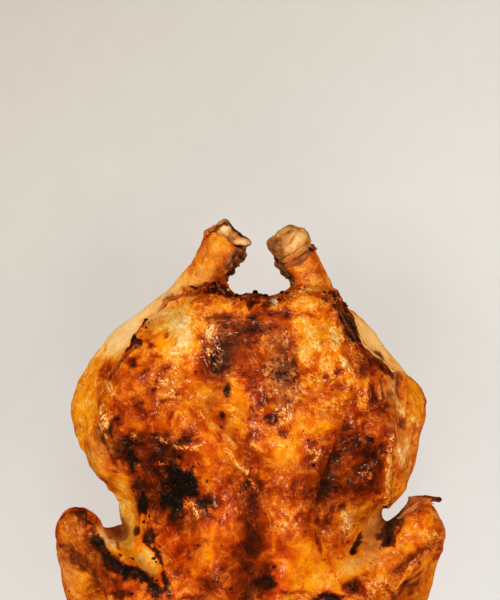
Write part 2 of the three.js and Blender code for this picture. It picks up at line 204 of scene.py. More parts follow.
        ((17.5, -9.5), (9.5, 4.5), 0.58, 0, 0.9), ((56, 46.5), (8, 6), 0.76, -35),
        ((58.5, 45), (3, 2.5), 0.62, 0, 0.8), ((65.5, 31), (6.5, 9.5), 0.64, 0, 0.9),
        ((60.5, 25.5), (5, 6), 0.74, 0, 0.9), ((65.5, 26), (3, 2), 0.8, 20, 0.9),
        ((68.5, 34.5), (2, 7.5), 0.72, 0, 0.9), ((66, 36.5), (1.5, 3.5), 0.42, 0, 0.9),
        ((59, 33.5), (3, 2.5), 0.48, 0, 0.7), ((54, 17.5), (6.5, 4), 0.6, 0, 0.9),
        ((43.5, 17.5), (4.5, 5), 0.66, 0, 0.9), ((66, 17), (4, 5), 0.7, 0, 0.8),
        ((54, 29), (2.5, 3), 0.4, 0, 0.7), ((58.5, 32), (1.5, 6), 0.76, 5, 0.9),
        ((63, 29.5), (2.5, 6.5), 0.68, 0, 0.9), ((71, 39), (2.5, 3), 0.84, 0, 0.9),
        ((66, 37), (2, 5.5), 0.44, -10, 0.9), ((52.5, 37), (3.5, 2.5), 0.42, 0, 0.8),
        ((43.5, 42.5), (2, 2), 0.8, 0, 0.9), ((36.5, 22.5), (5, 3), 0.62, -20, 0.8),
        ((45, 30), (6, 4.5), 0.5, 0, 0.8),
    ),
    # The front of the right thigh faces the neck: besides char and brown roast, its dark levels hold painted
    # shade
    "scorched front of the right thigh": (
        ((48.5, 0), (17.5, 12.5), 0.7), ((43.5, 5), (6, 6), 0.62, 0, 0.8), ((56, 4), (6, 5.5), 0.78),
        ((57.5, 9), (2, 1.5), 0.96), ((52.5, 8), (2, 1.5), 0.9), ((64.5, -1), (4, 9.5), 0.72),
        ((58, -9.5), (7.5, 5.5), 0.8), ((56, 0), (4.5, 2), 0.72, 0, 0.8), ((39, -12), (5.5, 6), 0.72),
        ((42.5, 0), (2.5, 2.5), 0.82, 0, 0.9), ((48.5, -14.5), (6.5, 4), 0.74, 0, 0.9),
        ((28.5, -5), (6, 10.5), 0.66, 0, 0.9), ((34, -15.5), (3.5, 8.5), 0.76, 0, 0.9),
        ((27, -15.5), (6.5, 4.5), 0.72, 0, 0.9), ((10, -16), (11.5, 4), 0.69, 0, 0.9),
        ((3.5, -14.5), (5, 6.5), 0.72, 0, 0.9),
    ),
    "right of the back": (
        ((19.5, -33.5), (14.5, 17.5), 0.58, 0, 0.8), ((15.5, -28), (7, 6), 0.44, 0, 0.9),
        ((10, -21.5), (6, 2.5), 0.58, 0, 0.8), ((10, -34.5), (5, 5), 0.56, 0, 0.8),
        ((27, -31), (5, 7.5), 0.64, 0, 0.8), ((39.5, -26.5), (6, 6.5), 0.64, 0, 0.8),
        ((47.5, -19.5), (14.5, 3.5), 0.62, 0, 0.9), ((52.5, -26), (6.5, 4.5), 0.54, 0, 0.8),
        ((45, -23), (2, 2.5), 0.86), ((41, -23.5), (2, 2), 0.8, 0, 0.8),
        ((40.5, -38.5), (4.5, 6.5), 0.6, 0, 0.9), ((46, -30.5), (3.5, 6), 0.48, -15, 0.9),
        ((56, -31.5), (6, 4.5), 0.56, 0, 0.9), ((25, -48), (11.5, 11.5), 0.4),
        ((30, -56.5), (9.5, 5), 0.38, 0, 0.9), ((16.5, -42), (3, 6.5), 0.58, 0, 0.8),
        ((7.5, -53), (3.5, 6), 0.72, 0, 0.8), ((28.5, -54), (2, 1.5), 0.56, 0, 0.7),
        ((39, -51), (5, 7.5), 0.48, 0, 0.8), ((8, -59.5), (5, 3.5), 0.88, 20),
        ((22.5, -63.5), (10.5, 1.5), 0.6), ((38, -66), (6.5, 2.5), 0.9),
        ((17.5, -66), (6, 1.5), 0.5, 0, 0.7), ((48.5, -59.5), (3.5, 2.5), 0.84),
    ),
    "right armpit": (
        ((59, -38.5), (4.5, 9.5), 0.4), ((62, -32.5), (3, 5), 0.26, 0, 0.9), ((54, -46), (5, 4.5), 0.5),
        ((48.5, -52), (6, 4), 0.3, 35), ((43.5, -55), (5, 3.5), 0.4, 0, 0.9),
        ((54, -42), (1.5, 6), 0.4, 30, 0.8),
    ),
    "right knee": (
        ((78, 31), (5.5, 12.5), 0.37), ((74.5, 9.5), (6, 16.5), 0.43, 8),
        ((70, 14.5), (2.5, 6), 0.6, 0, 0.8), ((73.5, 17), (2, 2), 0.72), ((68.5, -8.5), (3, 10.5), 0.46),
        ((75, 14.5), (4, 8.5), 0.56, 0, 0.4),
    ),
    "right wing": (
        ((79.5, -48), (19, 24), 0.57), ((76.5, -58.5), (5, 4.5), 0.62, 0, 0.7),
        ((86, -23), (6.5, 3.5), 0.6, -25, 0.9), ((91, -32.5), (3, 9.5), 0.6, -6, 0.9),
        ((82.5, -34.5), (6, 6.5), 0.4, 0, 0.9), ((77.5, -27), (4.5, 4), 0.52, 0, 0.8),
        ((69, -41), (10.5, 3), 0.34, 42), ((74.5, -34), (2.5, 6), 0.4, -30, 0.8),
        ((85, -55), (5, 10.5), 0.45), ((66.5, -54), (5.5, 5), 0.45, 0, 0.9),
        ((59, -61.5), (6.5, 5), 0.62, 0, 0.9), ((77, -59.5), (3.5, 1.5), 0.82),
        ((77.5, -64.5), (1.5, 1.5), 0.74, 0, 0.9), ((70.5, -65.5), (4, 2), 0.66, 40, 0.9),
        ((54, -57), (4, 2), 0.66, 20, 0.9), ((49.5, -62.5), (3, 3), 0.8),
        ((59, -66.5), (4.5, 1.5), 0.6, 0, 0.7), ((75.5, -41.5), (5, 2.5), 0.42, 40, 0.8),
        ((77.5, -57.5), (6, 6.5), 0.68, 0, 0.5),
    ),
    "left wing": (
        ((-81, -48), (16.5, 26), 0.52), ((-82.5, -25), (6.5, 4.5), 0.7), ((-82.5, -32), (6.5, 6), 0.65),
        ((-91, -37.5), (2.5, 4.5), 0.42), ((-83, -40), (4, 3.5), 0.5, 0, 0.8),
        ((-88, -43.5), (4.5, 3), 0.68, -35, 0.8), ((-75, -44), (6, 9.5), 0.7, 36),
        ((-77.5, -32.5), (2.5, 6), 0.74, 25, 0.9), ((-67, -35.5), (8, 5.5), 0.14, -46),
        ((-62.5, -39), (1, 4), 0.66, 10, 0.9), ((-81.5, -56.5), (6, 10.5), 0.4, 25),
        ((-89, -54), (3.5, 12.5), 0.43, 10, 0.9), ((-67.5, -57.5), (7.5, 4.5), 0.72, -40, 0.9),
        ((-57, -63.5), (7.5, 2.5), 0.62, 0, 0.9), ((-63, -64.5), (5, 2.5), 0.86, 0, 0.9),
        ((-45, -62.5), (4, 3), 0.86, 0, 0.9), ((-52.5, -64.5), (3, 2), 0.5, 0, 0.7),
        ((-87, -53), (4, 9.5), 0.5, 15, 0.3),
    ),
    "left hock": (
        ((-18, 97), (6.5, 10.5), 0.4, -30), ((-15, 103), (4.5, 5), 0.31, 0, 0.8),
        ((-6, 97), (2.5, 7.5), 0.68, -33), ((-8.5, 95), (2, 6), 0.55, -33, 0.8),
        ((-13, 88.5), (3, 4.5), 0.66, 0, 0.9), ((-21, 91), (4, 4), 0.44, 0, 0.7),
    ),
    "right hock": (
        ((28.5, 89), (6, 10.5), 0.42, 30), ((35.5, 86.5), (1.5, 7.5), 0.56, 30, 0.8),
        ((17, 90), (2.5, 9.5), 0.74, 33), ((26, 95), (3, 4), 0.34, 30, 0.7),
        ((24.5, 84), (2.5, 2), 0.5, 0, 0.7),
    ),
}
# Roasted edges and lines, and dark lines of painted shade in folds and a slit: route, half width, roast and
# opacity
ROAST_LINES = {
    "lip over the left drumstick": (((-25, 83), (-33, 78.5), (-40.5, 75.5), (-43, 70.5)), 1, 0.64, 0.8),
    "beads of char by the left drumstick": (
        ((-47.5, 67), (-50, 62.5), (-52, 59), (-53.5, 54), (-58, 50.5)), 1, 0.84, 0.9,
    ),
    "lip above the left knee": (((-58, 50.5), (-62.5, 45), (-66.5, 39.5)), 1.4, 0.74, 0.9),
    "line along the left knee": (
        ((-67.5, 36), (-71, 26.5), (-69.5, 13.5), (-67, 5), (-64, -6)), 1.6, 0.68, 0.7,
    ),
    "stripe beside the left knee": (((-66, 9.5), (-62.5, 4.5), (-58.5, -1), (-55, -5.5)), 1.2, 0.86, 0.9),
    "second stripe beside the left knee": (((-63, 10.5), (-58.5, 6), (-55, 0)), 1.2, 0.9, 0.8),
    "charred fold over the right drumstick": (
        ((41, 79.5), (43, 75), (46, 68), (48.5, 61), (53, 54)), 2.9, 0.84, 1,
    ),
    "brown fold over the right drumstick": (((54, 54.5), (60, 48), (65.5, 43), (69.5, 38.5)), 2.4, 0.78, 1),
    "pale lip of that fold": (((49.5, 55), (54, 52.5), (63, 46.5), (70.5, 41.5)), 0.8, 0.35, 0.8),
    "line along the right knee": (((69.5, 38.5), (70, 24), (69, 9.5), (67.5, -5), (66, -20)), 1.4, 0.66, 0.8),
    "crease behind the tail": (
        ((-19.5, 69), (-10, 70.5), (0.5, 70), (12.5, 71.5), (24.5, 70.5), (33, 68)), 1.2, 0.7, 0.6,
    ),
    "front ridge of the left thigh": (((-21, 20), (-15, 12.5), (-8, 4), (-0.5, -7.5)), 1.2, 0.52, 0.9),
    "char line to the armpit": (
        ((-47.5, -40), (-44.5, -44.5), (-42, -50.5), (-40.5, -56.5), (-38.5, -64.5)), 1.2, 0.86, 1,
    ),
    "brown edge of the left wing": (((-79, -23), (-76, -29), (-73.5, -35.5)), 1.6, 0.78, 1),
    "charred ridge of the left wing": (
        ((-74.5, -37.5), (-71, -43), (-65.5, -49), (-57.5, -54), (-50.5, -57), (-43.5, -62)), 2.7, 0.92, 1,
    ),
    # Painted shade: the fold of the left wing is darkened where it lies in shade
    "fold of the left wing": (
        ((-90, -41.5), (-84, -46), (-78, -51.5), (-72.5, -57.5), (-68.5, -65.5)), 2.9, 0.7, 0.9,
    ),
    # Painted shade: the slit of the right armpit is darkened as the shade inside it
    "slit of the right armpit": (((54.5, -35), (52.5, -39.5), (49, -44.5)), 1, 0.86, 0.9),
    "shade under the right wing": (((71.5, -26), (67.5, -32), (64, -40.5)), 3.1, 0.86, 1),
    "streak on the right of the back": (
        ((33, -14.5), (34, -25), (32.5, -35.5), (34.5, -45.5)), 1.1, 0.76, 0.6,
    ),
    "ring at the right hock": (((17.5, 97), (24.5, 100), (31, 102)), 1.4, 0.76, 1),
    "rim at the left hock": (((-20.5, 108.5), (-15, 112), (-10, 114)), 0.9, 0.62, 0.8),
    "front edge of the right thigh": (
        ((45.5, 17.5), (43, 9.5), (41.5, 1), (37.5, -9.5), (34.5, -21.5)), 2.1, 0.7, 0.6,
    ),
    # Painted shade: the fold of the right wing is darkened where it lies in shade
    "fold of the right wing": (((90, -39.5), (84, -42.5), (77.5, -47.5), (70.5, -54)), 2.9, 0.64, 0.8),
    "light stripe on the right wing": (((82.5, -45.5), (76.5, -54), (71, -61.5)), 0.9, 0.34, 0.7),
    "rim of the shade under the right wing": (((74.5, -25), (71.5, -32), (66.5, -41)), 1, 0.7, 0.8),
    "red line below the right of the back": (((16, -62.5), (23.5, -63.5), (28.5, -62.5)), 0.8, 0.74, 0.8),
}
# Crests and lips where fat shines, with painted highlights in cream on them: route, half width and opacity
GREASE_AND_HIGHLIGHT_LINES = {
    "upper lip on the ridge of the left thigh": (
        ((-17.5, 17.5), (-14, 15), (-10.5, 12), (-7.5, 8), (-5.5, 5)), 0.8, 0.8,
    ),
    "lower lip on the ridge of the left thigh": (
        ((-11.5, 6), (-8.5, 2), (-6, -2), (-3, -5), (-0.5, -7)), 1, 0.9,
    ),
    "left of the yellow dip": (((-23.5, 24), (-21.5, 22), (-20, 19.5)), 1.1, 0.7),
    "above the scorched skin": (((-42.5, 10.5), (-41, 9), (-39, 8)), 1.3, 0.9),
    "above the char on the left": (((-36, 6.5), (-33.5, 6), (-29.5, 5.5)), 1.2, 0.9),
    "above the char on the right": (((-27.5, 5), (-25.5, 6), (-23.5, 6.5)), 1.2, 0.9),
    "behind the maroon skin": (((-56.5, 11), (-54, 11.5)), 1.3, 0.9),
    "red skin beside the char": (((-44.5, -1), (-42, -3), (-40, -2)), 1.2, 0.8),
    "upper glint beside the left knee": (((-66.5, 37), (-66, 34), (-65.5, 30.5)), 1.2, 0.8),
    "middle glint beside the left knee": (((-70, 22.5), (-68.5, 19), (-68, 15.5)), 1.2, 0.8),
    "lower glint beside the left knee": (((-71, 17.5), (-69.5, 13.5), (-67.5, 10.5)), 1.1, 0.8),
    "right hip patch": (((15.5, 58), (17.5, 60), (18, 57), (17, 54.5)), 1.5, 0.8),
    "top of the left hip patch": (((-17.5, 65), (-19, 63), (-20, 60.5), (-18, 56.5)), 1.3, 0.8),
    "middle of the left hip patch": (((-19.5, 54), (-18, 52.5), (-18.5, 49.5)), 1.7, 0.9),
    "between the hips": (((6.5, 59), (10, 59.5)), 1.1, 0.7),
    "beside the dark spot right of the spine": (((13, 16), (16, 18), (19, 19.5)), 1.4, 0.8),
    "above the dark spot right of the spine": (((12.5, 25.5), (16.5, 23), (20, 21)), 1.1, 0.7),
    "beside the spine": (((1.5, 8), (3.5, 5.5), (6.5, 3.5)), 1.1, 0.6),
    "middle of the right thigh": (((27.5, 3.5), (30.5, 4.5), (33, 3)), 1.2, 0.7),
    "lower middle of the right thigh": (((31, -0.5), (33.5, 2), (35.5, 3.5)), 1.4, 0.8),
    "scorched front of the right thigh": (((54.5, -6.5), (57, -7), (59, -8.5)), 1.3, 0.8),
    "edge over the right knee": (
        ((68, 12.5), (67, 6.5), (66.5, 0), (66, -7), (66, -14.5), (65, -20.5)), 1.1, 0.8,
    ),
    "first streak on the right knee": (((71, 7.5), (72.5, 2), (73, -4)), 1.4, 0.8),
    "second streak on the right knee": (((78.5, 20.5), (80.5, 18), (82.5, 15.5)), 1.3, 0.8),
    "third streak on the right knee": (((76.5, 11.5), (75, 5), (74, -1)), 1.3, 0.7),
    "cream fold over the right knee": (
        ((63.5, 48), (66, 45), (69, 40.5), (68.5, 34.5), (70, 28), (74, 21)), 1.5, 0.9,
    ),
    "streak on the right thigh": (((61.5, 35.5), (62.5, 30.5), (63.5, 25.5)), 1, 0.7),
    "fold on the right rump": (((43.5, 49.5), (46, 45.5), (48.5, 41.5)), 1.3, 0.8),
    "curve on the right rump": (((39, 63), (41, 59), (43, 55)), 1.2, 0.7),
    "upper glint on the left rump": (((-31.5, 63.5), (-29.5, 66), (-28, 67.5)), 1.5, 0.9),
    "middle glint on the left rump": (((-33.5, 55.5), (-30, 57)), 1.5, 0.9),
    "lower glint on the left rump": (((-37.5, 52), (-33, 53.5)), 1.6, 0.8),
    "upper glint on the left thigh": (((-43, 36), (-39.5, 38)), 1.3, 0.8),
    "lower glint on the left thigh": (((-37, 33.5), (-36.5, 30.5)), 1.7, 0.9),
    "in the groove of the back": (((0.5, -10), (2.5, -13), (4.5, -15)), 1.2, 0.7),
    "left of the groove": (((-6, -23), (-4, -26)), 1.1, 0.7),
    "inner streak by the char": (((-28, -19), (-26, -23), (-24, -28)), 1.2, 0.8),
    "right of the back": (((44.5, -24.5), (46.5, -29), (47, -32.5)), 1.4, 0.8),
}

# Where the skin is pale and peach-coloured instead of golden, and where it is lemon yellow
PALE_MARKS = (
    ((-16, 100), (6, 8.5), 0.22, -30), ((28.5, 89), (6, 9.5), 0.2, 30), ((-87, -54), (4.5, 12.5), 0.35, 12),
    ((-66.5, -35.5), (6, 6.5), 0.9, -40), ((17, 90), (2.5, 9.5), 0.9, 33), ((-52.5, 68), (30, 6.5), 1, 38),
    ((-71.5, 1), (6, 13.5), 0.25, -25), ((-13, 54), (7.5, 14.5), 0.3), ((16, 43), (6, 17.5), 0.45, 8),
    ((59.5, 57.5), (4.5, 19), 1, 43), ((76.5, -23), (6, 3), 0.6, 30), ((60.5, -38.5), (4.5, 9.5), 0.6),
    ((68, -31.5), (2.5, 8.5), 0.6, -28), ((12, 76), (2.5, 3.5), 1), ((-6, 97), (3, 7.5), 0.8, -33),
    ((74.5, 9.5), (6, 14.5), 0.25, 8), ((-40.5, 34.5), (7.5, 5), 0.25, 20),
    ((46.5, -30.5), (2.5, 6), 0.35, -15), ((68.5, 34.5), (2.5, 7.5), 0.5),
    ((51, -49.5), (6.5, 2.5), 0.6, 30), ((-25.5, 85.5), (7.5, 4.5), 0.5, 45),
    ((-31.5, 60.5), (3.5, 7.5), 0.25), ((-83.5, -33.5), (5, 5), 0.25, 0, 0.8),
    ((-50, -53), (6, 5), 0.3, 0, 0.8),
)
LEMON_MARKS = (
    ((-78, 31), (6, 22), 0.55, 3), ((-65.5, -13), (7.5, 3), 0.7, -20), ((-7.5, 26.5), (5.5, 12.5), 1, 5),
    ((-18.5, 30), (8.5, 7), 0.7), ((-57.5, -29), (4.5, 16.5), 1), ((-50, -48), (9, 4.5), 0.9, -35),
    ((46, -52), (6.5, 6.5), 0.9), ((56, -43), (6.5, 8.5), 0.9), ((78, 31), (5.5, 12.5), 0.5),
    ((68.5, -8.5), (3, 10.5), 0.6), ((84.5, -55), (5, 11.5), 0.5), ((-91.5, -41), (3.5, 8.5), 0.8),
    ((55.5, -27.5), (12.5, 6.5), 0.6), ((75, -48), (14.5, 17.5), 0.4), ((72.5, 9.5), (6.5, 29), 0.4),
    ((-75.5, 2.5), (7.5, 18), 0.8, -10), ((29.5, -55), (12.5, 10.5), 0.3), ((-83.5, -48), (12.5, 21), 0.4),
    ((-86, -56.5), (4.5, 13.5), 0.4, 15), ((-67.5, -35.5), (4.5, 8), 0.9, 40),
    ((-17, 99), (6.5, 11.5), 0.8, -30), ((34, 53), (6, 6.5), 0.3, 0, 0.8),
)
# How much grease the skin has, which also sets how much cream is painted on its crests as painted highlights,
# and where its wrinkles run along the bird instead of across it
PLAIN_GLOSS = 0.45
PLAIN_LENGTHWISE = 0.15
GLOSS_MARKS = (
    ((43.5, 74.5), (6, 7.5), 0.8, -30), ((0.5, -45.5), (9.5, 21), 0.12), ((-16, -38.5), (6, 8.5), 0.2),
    ((24.5, -48), (10.5, 9.5), 0.2), ((-52.5, 68), (29, 6.5), 0.12, 38),
    ((59.5, 57.5), (4.5, 18), 0.15, 43), ((-30, 59.5), (10.5, 12.5), 0.75), ((-18, 55), (4.5, 10.5), 1),
    ((18, 45.5), (6.5, 14.5), 0.6), ((-40.5, 34.5), (9.5, 6), 0.7, 20), ((-69.5, 24), (3, 17.5), 0.6),
    ((-40.5, 9.5), (14.5, 5), 0.5, -10), ((-8, 2.5), (9.5, 2.5), 0.9, -50), ((3, 2.5), (4, 7.5), 0.5),
    ((-26, -25), (6, 6.5), 0.8), ((57, -6), (6, 5), 0.8), ((33, 0), (4, 4), 0.8), ((3, -19), (4, 6.5), 0.6),
    ((19.5, -29), (7.5, 5), 0.5), ((47.5, -30), (4, 6.5), 0.8, -15), ((-83.5, -33.5), (6, 6), 0.8),
    ((82, -31), (6.5, 7.5), 0.6), ((70, -41), (8.5, 3), 0.6, 35), ((70, 21.5), (4, 16.5), 0.6),
    ((12.5, 21.5), (5, 6), 0.7), ((28.5, 92), (3, 6.5), 0.6, 30), ((-21, 95), (4, 6.5), 0.5, -40),
    ((-11, -53), (6, 11.5), 0.35), ((0, -48), (3.5, 29), 0),
)
LENGTHWISE_MARKS = (
    ((-77.5, 14.5), (8.5, 33.5), 1), ((75.5, 9.5), (6.5, 34.5), 1), ((-54.5, -29), (11.5, 24), 1),
    ((-83.5, -55), (9.5, 17.5), 1, 15), ((82, -55), (8.5, 16.5), 1, -8), ((0.5, -48), (12.5, 29), 0.7),
)
# Where the skin is red instead of orange, and where it is crinkled
RED_MARKS = (
    ((-74, 24), (2.5, 10.5), 0.4), ((-58, 6), (6.5, 5), 0.5), ((-47.5, 2.5), (7.5, 6), 0.7),
    ((-40, -6.5), (6.5, 5), 1, -30), ((-47.5, 17), (12.5, 6), 0.4), ((-35, -41), (6, 13.5), 1, 12),
    ((-28.5, -52), (5, 6), 0.7), ((-14.5, -25), (7.5, 6), 0.5), ((-10, -14.5), (6.5, 6), 0.5),
    ((0.5, 31), (5, 5), 0.5), ((18, 1), (4.5, 4), 0.6), ((54, 2), (11.5, 12.5), 0.6),
    ((59, -9.5), (6.5, 6.5), 0.5), ((14, -53), (5, 14.5), 0.8), ((25.5, 75), (4, 4), 0.6),
    ((27.5, 62.5), (2.5, 4.5), 0.5), ((18, -33.5), (6, 4.5), 0.4), ((-15, 9.5), (6.5, 9.5), 0.5, 40),
    ((82.5, -33.5), (6, 6), 0.8), ((59, -61.5), (6.5, 5), 0.7), ((-55, -63.5), (8.5, 3), 0.6),
    ((-82.5, -30.5), (6, 6), 0.4), ((28, 93), (3.5, 6), 0.7, 30), ((43.5, 17), (6, 5), 0.4),
    ((-47.5, 31), (9.5, 5), 0.3), ((-4.5, -38.5), (6, 11.5), 0.4), ((90, -19), (3.5, 2.5), 1),
)
PLAIN_CRINKLE = 0.35
CRINKLED_MARKS = (
    ((42.5, 74.5), (6, 8.5), 0.9, -30), ((19.5, 45.5), (12.5, 21), 1), ((39, 48), (14.5, 19), 0.9),
    ((46, 29), (12.5, 10.5), 0.8), ((-18, 55), (6, 12.5), 1), ((-33, 62.5), (11.5, 13.5), 0.6),
    ((-40.5, 34.5), (10.5, 6.5), 0.9, 20), ((12.5, 26.5), (8.5, 9.5), 0.9), ((19.5, 9.5), (14.5, 7.5), 0.5),
    ((-82.5, -30), (6.5, 7), 0.8), ((15.5, -28), (7, 6), 0.9), ((46, -30.5), (4.5, 6), 0.8, -15),
    ((90, -33.5), (4.5, 10.5), 0.8), ((59, -61.5), (7.5, 6), 0.9), ((24.5, -48), (11.5, 10.5), 0.08),
    ((-16, -38.5), (6.5, 10.5), 0.12), ((-0.5, -46), (9.5, 14.5), 0.25),
    ((-16.5, 7), (9.5, 10.5), 0.12, -50), ((-52.5, 24), (16.5, 6.5), 0.3),
    ((-81.5, -57.5), (7.5, 10.5), 0.1), ((85, -55.5), (5, 10.5), 0.1), ((66.5, -50.5), (6.5, 6), 0.2),
    ((-52.5, 68), (29, 6), 0.15, 38), ((59.5, 57.5), (4.5, 18), 0.15, 43), ((-57, -45.5), (11.5, 6.5), 0.2),
    ((-18.5, 96), (6.5, 9.5), 0.25, -30), ((-78, 14.5), (5, 29), 0.4), ((15, -67), (14.5, 4), 0.6),
    ((-69.5, 24), (3, 14.5), 0.8), ((-2, 77), (19, 6.5), 0.7), ((34, 77), (10.5, 7.5), 0.6),
    ((16.5, 42), (5, 14.5), 0.6, 10),
)

# Mounds and dips: place, half sizes, turn in degrees and height in millimetres
MOUNDS = {
    "yellow dip": ((-10, 26), (9, 15), 15, -3),
    "hole in the dip": ((-10.5, 34), (2, 2.6), 0, -2.6),
    "brown patch left of the spine": ((-13, 53), (8, 15), 0, -1.6),
    "brown patch right of the spine": ((16, 42), (7, 16), 8, -1.2),
    "left half of the back": ((-17, -45), (13, 20), 0, 3),
    "right half of the back": ((22, -46), (14, 19), 0, 3),
    "char on the left thigh": ((-33, -15), (12, 10), -45, -1.6),
    "front of the left thigh": ((-58, 3), (14, 7), -15, -1.4),
    "middle of the right thigh": ((29, 17), (11, 9), 0, 2.4),
    "lower middle of the right thigh": ((18, 4), (10, 8), 0, 2),
    "dark front of the right thigh": ((50, -2), (14, 12), 0, -1.6),
    "right tail lobe": ((30, 77), (11, 6), 0, 1.5),
    "left tail lobe": ((-22, 76), (12, 6), 0, 1.2),
    "left rump": ((-34, 62), (12, 12), 0, 1.2),
    "right rump": ((31, 54), (8, 16), 0, 1.2),
    "left thigh": ((-50, 34), (12, 10), 0, 0.8),
    "outer side of the left thigh": ((-75, 49), (10, 5), 57, 2.4),
}
# Places where the flesh is moved sideways as a whole: place, half sizes, turn and shift
SHIFTS = {
    "corner inside the right hock": ((17.5, 84), (5, 6.5), 20, (3.6, -0.8)),
    "gap beside the left wing": ((-65, -34), (5, 4.5), 0, (0.2, -3.4)),
    "gap beside the right wing": ((71, -23), (11, 5.5), 38, (0.4, -0.4)),
    "shoulder of the right wing": ((89, -22.5), (4, 4), 0, (0, 2.6)),
    "shoulder of the left wing": ((-73, -26), (6, 4.5), 0, (-0.8, -0.3)),
    "inner side of the right hock": ((14, 95), (3, 6), 35, (-1.2, 0)),
    "inner end of the left hock": ((0, 103), (2.6, 3), 0, (1.4, -0.6)),
    "notch right of the tail stump": ((10.5, 78), (2.6, 3), 0, (0, -2.6)),
    "notch left of the tail stump": ((-6, 79), (2.4, 2.6), 0, (0, -1.4)),
}
# Torn or crusted places, where the surface is ragged: place, half sizes, turn and height
RAGGED_MARKS = {
    "left tail rim": ((-19, 82), (13, 3.4), 3, 3.4),
    "tail stump": ((2, 76), (9, 4.4), 0, 3),
    "right tail rim": ((30, 81), (14, 2.4), 0, 2.4),
    "fold over the right drumstick": ((43, 68.5), (13, 4), -62, 2.8),
    "beads by the left drumstick": ((-52, 59), (12, 2.6), 57, 2.6),
    "char on the left thigh": ((-36, -16), (12, 13), 0, 2.2),
    "ridge of the left wing": ((-60, -49), (24, 4.5), -48, 2.4),
    "flank": ((-46, -32), (4, 15), 12, 2),
    "torn inner side of the left hock": ((-5, 95), (4.5, 12), -35, 3.2),
    "inner side of the right hock": ((15, 92), (2.6, 10), 33, 1.6),
    "rim of the left hock": ((-15, 110), (9, 2.6), 30, 1),
    "shoulder": ((36, -66), (8, 3), 0, 2),
}
